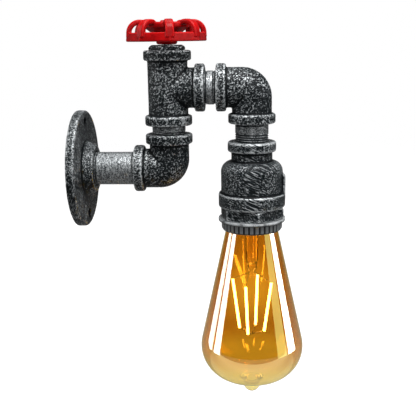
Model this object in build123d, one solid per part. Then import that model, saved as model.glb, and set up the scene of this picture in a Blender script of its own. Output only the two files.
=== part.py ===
from build123d import *
import os
from math import acos, atan2, cos, pi, radians, sin, sqrt, tan

# Industrial pipe wall light: a round wall flange, a zig-zag of short threaded pipe and cast
# fittings, a red valve handwheel on top of the tee and a pear-shaped filament lamp below.
# Millimetres. +Z is up, +X points out of the wall, and the origin is the centre of the
# flange's back face. Every axis of the pipework lies in the plane Y = 0.

# ---------------------------------------------------------------- used on every piece
EDGE = 0.6                      # small broken edge
CUT_PAST = 1.0                  # how far a cutter runs past a face
END_GAP = 0.3                   # room beyond the end of a thread or a screw

# ---------------------------------------------------------------- pipe and threads
PIPE_OD = 26.9                  # 3/4 inch pipe
PIPE_BORE = 21.0
PIPE_END_CHAMFER = 0.8
THREAD_PITCH = 1.814            # 14 threads to the inch
THREAD_DEPTH = 0.9
THREAD_GRIP = 13.0              # length of pipe thread inside a fitting
THREAD_GAP = 0.05               # sealed thread: gap between pipe and fitting on the radius
THREAD_FLANK = 0.42             # half the width of a thread's groove, in pitches
THREAD_CUT_STANDS = 0.2         # groove cutter beyond the pipe's surface

# lengths of pipe that show between two fittings
WALL_NIPPLE_SHOWS = 32.0
RISER_SHOWS = 6.8
ARM_SHOWS = 8.9
DROP_SHOWS = 14.4
# thread turns that show beside a fitting
WALL_NIPPLE_TURNS = 1
RISER_TURNS = 3
ARM_TURNS = 2
DROP_UPPER_TURNS = 1
DROP_LOWER_TURNS = 4

# ---------------------------------------------------------------- cast fittings
COLLAR_OD = 38.0
COLLAR_WIDTH = 8.0
COLLAR_ROUND = 1.6
FITTING_BODY_OD = 32.0
FITTING_PASSAGE = 23.0
MOUTH_CHAMFER = 1.0
ELBOW_REACH = 28.5              # centre to face
ELBOW_BEND = 8.0                # radius of the bend's centre line
TEE_REACH = 29.6

# ---------------------------------------------------------------- wall flange
FLANGE_OD = 95.0
FLANGE_THICK = 6.8
FLANGE_EDGE = 0.9               # chamfer round the rim
HUB_BASE_OD = 44.0
HUB_FACE_OD = 38.6
HUB_HEIGHT = 8.0
HUB_FOOT = 1.2                  # fillet between plate and hub, drawn as a slope
HUB_EDGE = 0.9
HUB_MOUTH_CHAMFER = 1.9
SCREW_SPACING = 76.0
SCREW_HOLE = 7.6
SCREW_HOLE_CHAMFER = 0.8
EARTH_GROOVE_WIDTH = 10.0
EARTH_GROOVE_DEPTH = 3.0
EARTH_GROOVE_END = 34.0         # from the centre
EARTH_SCREW_AT = 28.0
EARTH_SCREW_D = 4.0
EARTH_SCREW_LENGTH = 2.8
EARTH_HEAD_D = 6.6
EARTH_HEAD_HEIGHT = 1.6
EARTH_TAG_THICK = 0.8
EARTH_TAG_OD = 7.6
EARTH_BARREL_D = 2.6
EARTH_BARREL_BORE = 1.6
EARTH_BARREL_LENGTH = 6.5
EARTH_BARREL_LAP = 0.4          # barrel into the ring
EARTH_TAG_GAP = 0.15            # ring round the screw

# ---------------------------------------------------------------- reducing socket
REDUCER_COLLAR_OD = 39.2
REDUCER_COLLAR_WIDTH = 8.3
REDUCER_NECK_OD = 33.4
REDUCER_BODY_OD = 50.4
REDUCER_BAND_OD = 54.6
REDUCER_BAND_WIDTH = 11.5
REDUCER_BAND_ROUND = 1.2
REDUCER_LENGTH = 53.5           # top face to bottom face
REDUCER_NECK_LENGTH = 7.7
REDUCER_SOCKET_OD = 41.9        # 1 1/4 inch thread
REDUCER_SOCKET_DEPTH = 14.5
REDUCER_CAVITY_OD = 42.6
REDUCER_DOME = 8.8              # radius of the shoulder inside
REDUCER_DOME_DROP = 25.0        # below the top face
RIB_WIDTH = 5.0
RIB_STANDS = 2.2
RIB_DROP = 25.5                 # top of the rib below the top face
RIB_AZIMUTH = -10.0

# ---------------------------------------------------------------- hexagon bushing, lampholder side
BUSHING_AF = 47.2
BUSHING_HEAD = 9.5
BUSHING_CHAMFER = 1.0
BUSHING_FLAT_PAST = 0.2         # bevel starts just outside the flats
BUSHING_THREAD = 13.5
BUSHING_AZIMUTH = -78.0         # one corner of the hexagon
HOLDER_GAP = 0.2                # holder in the bushing, on the radius

# ---------------------------------------------------------------- lampholder
HOLDER_SKIRT_OD = 36.6
HOLDER_SKIRT_BORE = 33.6
HOLDER_SKIRT_SHOWS = 3.5        # below the hexagon
HOLDER_COLLAR_OD = 41.0
HOLDER_COLLAR_THICK = 2.5
HOLDER_TOP_OD = 33.2
HOLDER_WAIST = 2.6              # from the collar's top to the top of the contact shell
SHELL_OD = 28.8
SHELL_SHEET = 0.45
SHELL_LENGTH = 23.6
SHELL_WAVE = 0.8                # depth of the rolled thread
SHELL_LIP_BORE = 18.0
SHELL_GAP = 0.1                 # shell in the holder, on the radius
SHELL_END_GAP = 0.5             # bore below the shell
SHELL_PLAIN = 0.6               # plain edge under the first thread
LAMP_PITCH = 3.629              # 7 threads to the inch
HOLDER_FLOOR = 6.9
CONTACT_POCKET_D = 16.0
CONTACT_POCKET_DEPTH = 3.3
CONTACT_SHEET = 0.6
CONTACT_WIDTH = 5.0
CONTACT_RIVET_END = -6.4        # end of the strip by the rivet
CONTACT_FOLD = 5.8              # where the strip folds back
CONTACT_FLAT = 2.0              # half length of the flat over the lamp's tip
CONTACT_LIP = 4.0
CONTACT_LIP_RISE = 0.7
CONTACT_IN_POCKET = 0.6         # lamp's tip above the mouth of the pocket
TERMINAL_LENGTH = 7.0
TERMINAL_WIDTH = 5.6
TERMINAL_HEIGHT = 6.2
TERMINAL_FLOOR = 1.0            # solid brass under the wire's hole
TERMINAL_FOOT = 0.8
TERMINAL_FOOT_WIDTH = 4.0
WIRE_END_LIFT = 0.3             # wire's end above the bottom of its hole
RIVET_D = 3.0
NEUTRAL_RIVET_AT = 11.4
TERMINAL_SCREW_D = 3.0
TERMINAL_SCREW_HEAD_D = 4.4
TERMINAL_SCREW_HEAD = 1.5
TERMINAL_SCREW_STANDS = 0.4     # head clear of the block
SCREW_SLOT_WIDTH = 0.7
SCREW_SLOT_DEPTH = 0.6
COVER_OD = 32.6
COVER_WALL = 1.2
COVER_HEIGHT = 8.2
COVER_HOLE = 13.6
COVER_EDGE = 0.8
COVER_BOSS_WALL = 1.1
COVER_BOSS_INSET = 0.1          # boss inside the cap's outer wall
COVER_SCREW_AT = 12.6
COVER_SCREW_D = 2.9
COVER_SCREW_HEAD_D = 5.2
COVER_SCREW_HEAD = 1.8
COVER_SCREW_GRIP = 3.5          # thread in the holder's floor
COVER_SCREW_GAP = 0.1

# ---------------------------------------------------------------- shade ring
RING_DISC_OD = 54.9
RING_DISC_THICK = 2.4
RING_SKIRT_OD = 48.4
RING_SKIRT_WALL = 1.6
RING_LENGTH = 9.8
RING_RIBS = 36
RING_RIB_STANDS = 0.8
RING_RIB_ROOT = 0.4             # rib's depth inside the wall
RING_RIB_WIDTH = 1.5
RING_RIB_SHORT = 0.8            # ribs stop this far above the bottom edge
RING_THREAD_GAP = 0.08

# ---------------------------------------------------------------- wires through the pipe
WIRE_D = 2.4
WIRE_SPREAD = 4.5               # each wire from the plane of the pipework
WIRE_BEND = 28.0
WIRE_MOUTH = 6.5                # wire's end inside the flange mouth
WIRE_BARE_GAP = 0.05

# ---------------------------------------------------------------- bonnet and stem in the tee's top
BONNET_AF = 26.4
BONNET_HEAD = 4.1
BONNET_CHAMFER = 2.1            # height of the bevel on the hexagon's corners
BONNET_FLAT_INSET = 1.0         # round top inside the flats
BONNET_THREAD = 12.0
BONNET_AZIMUTH = -68.0          # normal of one flat
STEM_D = 8.0
STEM_FIT = 0.04                 # running fit on the radius
STEM_COLLAR_D = 13.0
STEM_COLLAR_THICK = 3.0
STEM_COLLAR_GAP = 0.3
STEM_SQUARE = 5.6
STEM_THREAD_D = 5.0
STEM_THREAD_SHOWS = 1.2         # above the nut
STUFFING_BOX_D = 14.0
PACKING_GAP = 0.05
PACKING_HEIGHT = 5.0
GLAND_GAP = 0.1
GLAND_HEIGHT = 2.6

# ---------------------------------------------------------------- handwheel
WHEEL_SIDES = 8
WHEEL_OD = 64.0                 # corner to corner
WHEEL_AZIMUTH = -78.7           # one corner
RIM_THICK = 3.4
RIM_HEIGHT = 6.4
RIM_DRAFT = 0.7                 # rim leans in by this much at its top
RIM_ABOVE_HUB = 2.4             # underside of the rim above the underside of the hub
WHEEL_HUB_D = 16.0
WHEEL_HUB_LENGTH = 9.0
WHEEL_GAP = 0.3                 # hub above the bonnet
ARCH_WIDTH = 6.0
ARCH_THICK = 3.4
ARCH_RISE = 17.4                # top of the arches above the underside of the rim
ARCH_BEND = 8.5
ARCH_INNER_BEND = 3.0
ARCH_FALL = 0.8                 # arch drops this much from its crown to the inner ring
INNER_RING_D = 32.0             # centre of the inner ring
INNER_RING_WIDTH = 3.4
INNER_RING_RISE = 14.7
INNER_RING_DEPTH = 3.4
WEB_THICK = 2.2
WEB_HUB_DROP = 0.6              # underside of the web below its top at the hub
WEB_RING_DROP = 0.4
WHEEL_ROUND = 0.8
WHEEL_SQUARE_GAP = 0.1
SQUARE_SHORT = 0.5              # square ends this far below the hub's top
WASHER_GAP = 0.2
WASHER_OD = 11.0
WASHER_THICK = 1.0
NUT_AF = 8.0
NUT_HEIGHT = 4.0
NUT_CHAMFER = 0.5
NUT_FLAT_PAST = 0.1             # bevel starts just outside the flats

# ---------------------------------------------------------------- lamp
CAP_BELOW_CONTACT = 0.3         # lamp's tip below the centre contact
CAP_OD = 26.0
CAP_SHEET = 0.35
CAP_WAVE = 0.7
CAP_SKIRT = 3.0
CAP_TURNS = 5
CAP_TAPER = 1.6
CAP_LAP = 0.3                   # taper's overlap on the thread
CAP_TIP_OPENING = 19.0
CAP_LIP = 1.2                   # flat ring that holds the insulator
CAP_INSULATOR_HEIGHT = 2.4
INSULATOR_FOOT = 1.0            # part of the insulator inside the cap
INSULATOR_GROOVE = 0.3
TIP_D = 9.6
TIP_HEIGHT = 1.2
TIP_EDGE = 0.4
TIP_BEVEL = 1.4
TIP_SHANK_D = 5.9
TIP_SHANK_GAP = 0.05            # shank in the insulator, on the radius
GLASS_WALL = 0.9
GLASS_FOOT_OD = 23.8            # inside the cap
GLASS_FOOT = 5.0
NECK_OD = 28.0
NECK_CONE = 2.5
NECK_STRAIGHT = 1.0
FLARE_HEIGHT = 9.6
LAMP_RING_GAP = 1.1             # foot of the flare inside the shade ring's bore
FLANK_LEAN = 12.5               # degrees from the lamp's axis
GLASS_OD = 87.0
GLASS_CORNER = 29.0             # radius of the arc below the widest place
GLASS_BOTTOM = 75.0             # radius of the bottom
PIP_D = 20.0
PIP_TIP_D = 12.4
PIP_WAIST_D = 14.4
PIP_FLARE = 4.2                 # height of the curve between the bottom and the pip
PIP_FLARE_SAG = 0.5
PIP_LENGTH = 13.0
STEM_GLASS_GAP = 0.05           # flare inside the foot of the lamp's glass
STEM_FLARE_HEIGHT = 10.0
STEM_TUBE_OD = 13.0
STEM_TUBE_WALL = 1.0
PRESS_RISE = 16.0               # middle of the press above the filaments' tops
PRESS_HALF = 4.0                # the tube closes to the rod over twice this height
PRESS_OD = 6.4
STEM_ROD_D = 4.0
STEM_ROD_RISE = 3.0             # end of the rod above the filaments' tops
FILAMENTS = 4
LEAD_PAIRS = (0, 2)             # first filament of each pair that shares a lead
FILAMENT_D = 2.2
FILAMENT_LENGTH = 44.0
FILAMENT_TOP_SPREAD = 17.0
FILAMENT_FOOT_SPREAD = 11.0
FILAMENT_AZIMUTH = -17.0
FILAMENT_DROP = 55.0            # filaments' tops below the neck
LEAD_D = 0.9
LEAD_FROM_ROD = 0.1             # lead beside the glass rod
LEAD_IN_PRESS = 0.9             # lead's end above the middle of the press
LEAD_FORK = 8.0                 # above the filaments' tops
LEAD_TO_FILAMENT = 0.2
FILAMENT_SEAT = 0.05            # wire's end round a filament
BRIDGE_DROP = 4.0               # bridge's middle below the filaments' feet
BRIDGE_BEAD = 0.8               # radius of the bead at the middle

# ---------------------------------------------------------------- places, worked out from the sizes
hub_face_x = FLANGE_THICK + HUB_HEIGHT
lower_face_x = hub_face_x + WALL_NIPPLE_SHOWS
riser_x = lower_face_x + ELBOW_REACH
tee_bottom_z = ELBOW_REACH + RISER_SHOWS
arm_z = tee_bottom_z + TEE_REACH
tee_top_z = arm_z + TEE_REACH
tee_side_x = riser_x + TEE_REACH
upper_face_x = tee_side_x + ARM_SHOWS
drop_x = upper_face_x + ELBOW_REACH
upper_bottom_z = arm_z - ELBOW_REACH
reducer_top_z = upper_bottom_z - DROP_SHOWS
reducer_bottom_z = reducer_top_z - REDUCER_LENGTH
hexagon_bottom_z = reducer_bottom_z - BUSHING_HEAD
bushing_top_z = reducer_bottom_z + BUSHING_THREAD
skirt_bottom_z = hexagon_bottom_z - HOLDER_SKIRT_SHOWS
holder_seat_z = bushing_top_z
shell_top_z = holder_seat_z + HOLDER_COLLAR_THICK + HOLDER_WAIST
floor_top_z = shell_top_z + HOLDER_FLOOR
pocket_top_z = shell_top_z + CONTACT_POCKET_DEPTH
tip_z = shell_top_z + CONTACT_IN_POCKET
bonnet_top_z = tee_top_z + BONNET_HEAD
wheel_z = bonnet_top_z + WHEEL_GAP
wheel_top_z = wheel_z + WHEEL_HUB_LENGTH
rim_z = wheel_z + RIM_ABOVE_HUB
cap_top_z = tip_z - TIP_HEIGHT - CAP_INSULATOR_HEIGHT
cap_thread_low_z = cap_top_z - CAP_TAPER - LAMP_PITCH * CAP_TURNS
cap_bottom_z = cap_thread_low_z - CAP_SKIRT
foot_top_z = cap_bottom_z + GLASS_FOOT
neck_z = cap_bottom_z - NECK_CONE - NECK_STRAIGHT
flank_z = neck_z - FLARE_HEIGHT
filament_top_z = neck_z - FILAMENT_DROP
press_z = filament_top_z + PRESS_RISE

os.makedirs("parts", exist_ok=True)


# ---------------------------------------------------------------- shared shapes
def save(node, shape):
    export_step(shape, f"parts/{node}.step")


def turned(points, x=0.0, y=0.0):
    """Solid turned about a vertical axis through (x, y) from a closed outline of (radius, z)."""
    outline = make_face(Polyline([(r, 0, z) for r, z in points], close=True))
    return Pos(x, y, 0) * revolve(outline, axis=Axis.Z)


def rod(radius, low, high, x=0.0, y=0.0):
    """Upright cylinder between two heights."""
    return Pos(x, y, (low + high) / 2) * Cylinder(radius, high - low)


def tube(outer, inner, low, high, x=0.0, y=0.0):
    return rod(outer, low, high, x, y) - rod(inner, low, high, x, y)


def quarter_arc(centre_r, centre_z, radius):
    """Quarter circle in the XZ plane, from straight out to straight up."""
    lean = radius * cos(pi / 4)
    return ThreePointArc((centre_r + radius, 0, centre_z), (centre_r + lean, 0, centre_z + lean),
                         (centre_r, 0, centre_z + radius))


def along_x(shape, x, z=0.0):
    """Lay an upright shape down so that its +Z runs along +X from (x, 0, z)."""
    return Pos(x, 0, z) * Rot(0, 90, 0) * shape


def hexagon(across_flats, low, high, corner_azimuth):
    """Upright hexagon bar with one corner at an azimuth."""
    corner_radius = across_flats / 2 / cos(radians(30))
    plan = Rot(0, 0, corner_azimuth) * RegularPolygon(corner_radius, 6)
    return Pos(0, 0, low) * extrude(plan, high - low)


def pipe_nipple(shows, lower_turns, upper_turns):
    """Threaded pipe from z = 0: grip, the length that shows, grip. Turns that show are cut as rings."""
    length = shows + 2 * THREAD_GRIP
    outer, bore, c = PIPE_OD / 2, PIPE_BORE / 2, PIPE_END_CHAMFER
    nipple = turned([(bore, 0), (outer - c, 0), (outer, c), (outer, length - c),
                     (outer - c, length), (bore, length)])
    starts = [THREAD_GRIP + THREAD_PITCH * (i - 0.5) for i in range(lower_turns + 1)]
    starts += [length - THREAD_GRIP - THREAD_PITCH * (i - 0.5) for i in range(upper_turns + 1)]
    half, past = THREAD_PITCH * THREAD_FLANK, outer + THREAD_CUT_STANDS
    for z in starts:
        nipple -= turned([(outer - THREAD_DEPTH, z), (past, z - half), (past, z + half)])
    return nipple


def fitting_arm(reach, body_start=0.0):
    """One arm of a cast fitting along +Z: a round body and the collar at its mouth."""
    body = rod(FITTING_BODY_OD / 2, body_start, reach - COLLAR_WIDTH / 2)
    collar = rod(COLLAR_OD / 2, reach - COLLAR_WIDTH, reach)
    collar = fillet(collar.edges().filter_by(GeomType.CIRCLE), COLLAR_ROUND)
    return body + collar


def arm_hollow(reach, start=0.0):
    """What the arm's bore, thread and countersunk mouth take away."""
    thread = PIPE_OD / 2 + THREAD_GAP
    passage = FITTING_PASSAGE / 2
    grip_z = reach - THREAD_GRIP - END_GAP
    past = reach + CUT_PAST
    return turned([(0, start), (passage, start), (passage, grip_z), (thread, grip_z),
                   (thread, reach - MOUTH_CHAMFER), (thread + MOUTH_CHAMFER, reach),
                   (thread + MOUTH_CHAMFER, past), (0, past)])


def bend_wedge(radius):
    """Outer part of a round bend from the -X arm to the +Z arm, about the inner corner."""
    width = ELBOW_BEND + radius
    section = Circle(radius) & Pos(width / 2 - ELBOW_BEND, 0) * Rectangle(width, 2 * radius)
    section = Pos(0, 0, ELBOW_BEND) * section
    axis = Axis((-ELBOW_BEND, 0, ELBOW_BEND), (0, 1, 0))
    return revolve(section, axis=axis, revolution_arc=90)


def elbow():
    """Right-angle elbow at the origin with one mouth towards -X and one towards +Z."""
    to_wall = Rot(0, -90, 0)
    solid = fitting_arm(ELBOW_REACH, ELBOW_BEND) + to_wall * fitting_arm(ELBOW_REACH, ELBOW_BEND)
    solid += bend_wedge(FITTING_BODY_OD / 2)
    hollow = arm_hollow(ELBOW_REACH, ELBOW_BEND) + to_wall * arm_hollow(ELBOW_REACH, ELBOW_BEND)
    hollow += bend_wedge(FITTING_PASSAGE / 2)
    return solid - hollow


def tee():
    """Equal tee at the origin with its run along Z and its branch towards +X."""
    down, side = Rot(180, 0, 0), Rot(0, 90, 0)
    solid = fitting_arm(TEE_REACH)
    hollow = arm_hollow(TEE_REACH)
    return (solid + down * solid + side * solid) - (hollow + down * hollow + side * hollow)


# ---------------------------------------------------------------- wall flange and its earth point
def wall_flange():
    rim, edge = FLANGE_OD / 2, FLANGE_EDGE
    thread = PIPE_OD / 2 + THREAD_GAP
    plate = turned([(thread, 0), (rim, 0), (rim, FLANGE_THICK - edge), (rim - edge, FLANGE_THICK),
                    (HUB_BASE_OD / 2 + HUB_FOOT, FLANGE_THICK), (HUB_BASE_OD / 2, FLANGE_THICK + HUB_FOOT),
                    (HUB_FACE_OD / 2, hub_face_x - HUB_EDGE), (HUB_FACE_OD / 2 - HUB_EDGE, hub_face_x),
                    (thread + HUB_MOUTH_CHAMFER, hub_face_x), (thread, hub_face_x - HUB_MOUTH_CHAMFER)])
    hole, bevel, past = SCREW_HOLE / 2, SCREW_HOLE_CHAMFER, FLANGE_THICK + CUT_PAST
    screw_hole = turned([(0, -CUT_PAST), (hole, -CUT_PAST), (hole, FLANGE_THICK - bevel),
                         (hole + bevel + CUT_PAST, past), (0, past)])
    for side in (-1, 1):
        plate -= Pos(side * SCREW_SPACING / 2, 0, 0) * screw_hole
    plate -= Pos(0, EARTH_GROOVE_END / 2, EARTH_GROOVE_DEPTH / 2) * Box(
        EARTH_GROOVE_WIDTH, EARTH_GROOVE_END, EARTH_GROOVE_DEPTH)
    screw_end = EARTH_GROOVE_DEPTH + EARTH_SCREW_LENGTH
    plate -= rod(EARTH_SCREW_D / 2 + THREAD_GAP, 0, screw_end, 0, EARTH_SCREW_AT)
    return along_x(plate, 0)


def earth_tag():
    """Ring tag on the groove's floor, its crimp barrel towards the flange's bore."""
    face = EARTH_GROOVE_DEPTH
    ring = tube(EARTH_TAG_OD / 2, EARTH_SCREW_D / 2 + EARTH_TAG_GAP, face - EARTH_TAG_THICK, face,
                0, EARTH_SCREW_AT)
    barrel_y = EARTH_SCREW_AT - EARTH_TAG_OD / 2 + EARTH_BARREL_LAP - EARTH_BARREL_LENGTH / 2
    barrel = Cylinder(EARTH_BARREL_D / 2, EARTH_BARREL_LENGTH)
    barrel -= Cylinder(EARTH_BARREL_BORE / 2, EARTH_BARREL_LENGTH)
    barrel = Pos(0, barrel_y, face - EARTH_BARREL_D / 2) * Rot(90, 0, 0) * barrel
    return along_x(ring + barrel, 0)


def earth_screw():
    face = EARTH_GROOVE_DEPTH - EARTH_TAG_THICK
    head_low = face - EARTH_HEAD_HEIGHT
    head = rod(EARTH_HEAD_D / 2, head_low, face)
    head = chamfer(head.edges().filter_by(GeomType.CIRCLE).sort_by(Axis.Z)[0], EDGE / 2)
    shank = rod(EARTH_SCREW_D / 2, face, EARTH_GROOVE_DEPTH + EARTH_SCREW_LENGTH - END_GAP)
    slot = Pos(0, 0, head_low + SCREW_SLOT_DEPTH / 2) * Box(SCREW_SLOT_WIDTH, EARTH_HEAD_D, SCREW_SLOT_DEPTH)
    return along_x(Pos(0, EARTH_SCREW_AT, 0) * (head + shank - slot), 0)


# ---------------------------------------------------------------- reducing socket
def reducer_socket():
    top, bottom = reducer_top_z, reducer_bottom_z
    body, band = REDUCER_BODY_OD / 2, REDUCER_BAND_OD / 2
    neck, rounding = REDUCER_NECK_OD / 2, REDUCER_COLLAR_WIDTH / 2
    shoulder_z = top - REDUCER_COLLAR_WIDTH - REDUCER_NECK_LENGTH
    collar = rod(REDUCER_COLLAR_OD / 2, top - REDUCER_COLLAR_WIDTH, top)
    collar = fillet(collar.edges().filter_by(GeomType.CIRCLE), COLLAR_ROUND)
    foot = rod(band, bottom, bottom + REDUCER_BAND_WIDTH)
    foot = fillet(foot.edges().filter_by(GeomType.CIRCLE), REDUCER_BAND_ROUND)
    outline = Polyline([(neck, 0, shoulder_z), (neck, 0, top - rounding), (0, 0, top - rounding),
                        (0, 0, bottom + rounding), (body, 0, bottom + rounding),
                        (body, 0, shoulder_z - (body - neck))])
    shoulder = quarter_arc(neck, shoulder_z - (body - neck), body - neck)
    shell = revolve(make_face([outline, shoulder]), axis=Axis.Z)
    rib_top = top - RIB_DROP
    rib_low = bottom + REDUCER_BAND_WIDTH / 2
    rib = Pos((body + RIB_STANDS) / 2, 0, (rib_top + rib_low) / 2) * Box(
        body + RIB_STANDS, RIB_WIDTH, rib_top - rib_low)
    rib = chamfer(rib.edges().filter_by(Axis.Y).sort_by(Axis.Z)[-2:].sort_by(Axis.X)[-1], RIB_STANDS)
    solid = collar + foot + shell + Rot(0, 0, RIB_AZIMUTH) * rib
    socket, cavity = REDUCER_SOCKET_OD / 2 + THREAD_GAP, REDUCER_CAVITY_OD / 2
    thread, passage = PIPE_OD / 2 + THREAD_GAP, FITTING_PASSAGE / 2
    dome_z = top - REDUCER_DOME_DROP
    dome_top = dome_z + REDUCER_DOME
    grip_z = top - THREAD_GRIP - END_GAP
    above, below = top + CUT_PAST, bottom - CUT_PAST
    hollow_line = Polyline([(cavity - REDUCER_DOME, 0, dome_top), (passage, 0, dome_top),
                            (passage, 0, grip_z), (thread, 0, grip_z), (thread, 0, top - MOUTH_CHAMFER),
                            (thread + MOUTH_CHAMFER, 0, top), (thread + MOUTH_CHAMFER, 0, above),
                            (0, 0, above), (0, 0, below), (socket + MOUTH_CHAMFER, 0, below),
                            (socket + MOUTH_CHAMFER, 0, bottom), (socket, 0, bottom + MOUTH_CHAMFER),
                            (socket, 0, bottom + REDUCER_SOCKET_DEPTH),
                            (cavity, 0, bottom + REDUCER_SOCKET_DEPTH), (cavity, 0, dome_z)])
    dome = quarter_arc(cavity - REDUCER_DOME, dome_z, REDUCER_DOME)
    solid -= revolve(make_face([hollow_line, dome]), axis=Axis.Z)
    return Pos(drop_x, 0, 0) * solid


def hexagon_bushing():
    low, high = hexagon_bottom_z, reducer_bottom_z
    head = hexagon(BUSHING_AF, low, high, BUSHING_AZIMUTH)
    corner = BUSHING_AF / 2 / cos(radians(30))
    flat, c = BUSHING_AF / 2 + BUSHING_FLAT_PAST, BUSHING_CHAMFER
    head &= turned([(0, low), (flat, low), (corner, low + c), (corner, high - c), (flat, high), (0, high)])
    thread = REDUCER_SOCKET_OD / 2
    spigot = turned([(0, low + c), (thread, low + c), (thread, bushing_top_z - MOUTH_CHAMFER),
                     (thread - MOUTH_CHAMFER, bushing_top_z), (0, bushing_top_z)])
    bore = rod(HOLDER_SKIRT_OD / 2 + HOLDER_GAP, low - CUT_PAST, bushing_top_z + CUT_PAST)
    return Pos(drop_x, 0, 0) * (head + spigot - bore)


# ---------------------------------------------------------------- lampholder
def holder_body():
    """Ceramic body: skirt through the bushing, collar on top of it, floor with the contacts."""
    skirt, mouth = HOLDER_SKIRT_OD / 2, HOLDER_SKIRT_BORE / 2
    collar, upper = HOLDER_COLLAR_OD / 2, HOLDER_TOP_OD / 2
    shell = SHELL_OD / 2 + SHELL_GAP
    seat, collar_top = holder_seat_z, holder_seat_z + HOLDER_COLLAR_THICK
    shell_low = shell_top_z - SHELL_LENGTH - SHELL_END_GAP
    body = turned([(mouth, skirt_bottom_z), (skirt, skirt_bottom_z), (skirt, seat), (collar, seat),
                   (collar, collar_top), (upper, collar_top), (upper, floor_top_z), (0, floor_top_z),
                   (0, pocket_top_z), (CONTACT_POCKET_D / 2, pocket_top_z),
                   (CONTACT_POCKET_D / 2, shell_top_z), (shell, shell_top_z), (shell, shell_low),
                   (mouth, shell_low)])
    rivet = RIVET_D / 2 + THREAD_GAP
    past = floor_top_z + CUT_PAST
    body -= rod(rivet, pocket_top_z - CUT_PAST, past, 0, -WIRE_SPREAD)
    body -= rod(rivet, shell_top_z - CUT_PAST, past, 0, NEUTRAL_RIVET_AT)
    for side in (-1, 1):
        body -= rod(COVER_SCREW_D / 2 + THREAD_GAP, floor_top_z - COVER_SCREW_GRIP - END_GAP, past,
                    side * COVER_SCREW_AT, 0)
    return Pos(drop_x, 0, 0) * body


def rolled_wall(outer, sheet, wave, low, high, turns, first):
    """Thin wall with a rolled thread, drawn as rings one pitch apart: closed (radius, z) outline."""
    outside = [(outer, low)]
    for i in range(turns):
        z = first + LAMP_PITCH * i
        outside += [(outer, z + LAMP_PITCH * 0.35), (outer - wave, z + LAMP_PITCH * 0.5),
                    (outer - wave, z + LAMP_PITCH * 0.85), (outer, z + LAMP_PITCH)]
    # the last ring runs straight up to the top of the wall
    outside[-1] = (outer - wave, high)
    return outside + [(r - sheet, z) for r, z in reversed(outside)]


def screw_shell():
    """Threaded contact shell: thin sheet, a flat lip at the top under the holder's floor."""
    low, high = shell_top_z - SHELL_LENGTH, shell_top_z
    outer = SHELL_OD / 2
    first = low + SHELL_PLAIN
    turns = int((high - first) / LAMP_PITCH)
    wall = turned(rolled_wall(outer, SHELL_SHEET, SHELL_WAVE, low, high, turns, first))
    lip = tube(outer - SHELL_WAVE, SHELL_LIP_BORE / 2, high - SHELL_SHEET, high)
    return Pos(drop_x, 0, 0) * (wall + lip)


def centre_contact():
    """Brass strip riveted to the pocket's roof, folded back down over the lamp's tip."""
    t, roof, tongue = CONTACT_SHEET, pocket_top_z, tip_z + CAP_BELOW_CONTACT
    end, fold, flat, lip = CONTACT_RIVET_END, CONTACT_FOLD, CONTACT_FLAT, CONTACT_LIP
    fold_low, lip_z = roof - 2 * t, tongue + CONTACT_LIP_RISE
    below = [(end, roof), (fold, roof), (fold, fold_low), (flat, tongue), (-flat, tongue), (-lip, lip_z)]
    above = [(-lip, lip_z + t), (-flat, tongue + t), (flat, tongue + t), (fold - t, fold_low + t / 2),
             (fold - t, roof - t), (end, roof - t)]
    side = Plane.YZ * make_face(Polyline(below + above, close=True))
    strip = extrude(side, CONTACT_WIDTH / 2, both=True)
    rivet = rod(RIVET_D / 2, roof - t / 2, floor_top_z, 0, -WIRE_SPREAD)
    return Pos(drop_x, 0, 0) * (strip + rivet)


def terminal_block(side):
    """Pillar terminal with an upright wire hole and a clamp-screw hole in its outer face."""
    low, y, middle_z = floor_top_z, side * WIRE_SPREAD, floor_top_z + TERMINAL_HEIGHT / 2
    block = Pos(0, y, middle_z) * Box(TERMINAL_LENGTH, TERMINAL_WIDTH, TERMINAL_HEIGHT)
    block -= rod(WIRE_D / 2 + WIRE_BARE_GAP, low + TERMINAL_FLOOR, low + TERMINAL_HEIGHT + CUT_PAST, 0, y)
    screw_hole = Cylinder(TERMINAL_SCREW_D / 2 + THREAD_GAP, TERMINAL_WIDTH)
    block -= Pos(0, y + side * TERMINAL_WIDTH / 2, middle_z) * Rot(90, 0, 0) * screw_hole
    return block


def live_terminal():
    return Pos(drop_x, 0, 0) * terminal_block(-1)


def neutral_terminal():
    """The neutral block has a foot with a rivet that reaches the screw shell's lip."""
    low, foot_end = floor_top_z, NEUTRAL_RIVET_AT + RIVET_D / 2
    foot = Pos(0, (WIRE_SPREAD + foot_end) / 2, low + TERMINAL_FOOT / 2) * Box(
        TERMINAL_FOOT_WIDTH, foot_end - WIRE_SPREAD, TERMINAL_FOOT)
    rivet = rod(RIVET_D / 2, shell_top_z, low + TERMINAL_FOOT, 0, NEUTRAL_RIVET_AT)
    return Pos(drop_x, 0, 0) * (terminal_block(1) + foot + rivet)


def terminal_screws():
    screws = []
    z = floor_top_z + TERMINAL_HEIGHT / 2
    inner = WIRE_SPREAD + WIRE_D / 2 + WIRE_BARE_GAP
    face = WIRE_SPREAD + TERMINAL_WIDTH / 2 + TERMINAL_SCREW_STANDS
    end = face + TERMINAL_SCREW_HEAD
    for side in (-1, 1):
        shank = Pos(0, side * (inner + face) / 2, z) * Rot(90, 0, 0) * Cylinder(
            TERMINAL_SCREW_D / 2, face - inner)
        head = Pos(0, side * (face + end) / 2, z) * Rot(90, 0, 0) * Cylinder(
            TERMINAL_SCREW_HEAD_D / 2, TERMINAL_SCREW_HEAD)
        slot = Pos(0, side * (end - SCREW_SLOT_DEPTH / 2), z) * Box(
            TERMINAL_SCREW_HEAD_D, SCREW_SLOT_DEPTH, SCREW_SLOT_WIDTH)
        screws.append(Pos(drop_x, 0, 0) * (shank + head - slot))
    return Compound(children=screws)


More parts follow.
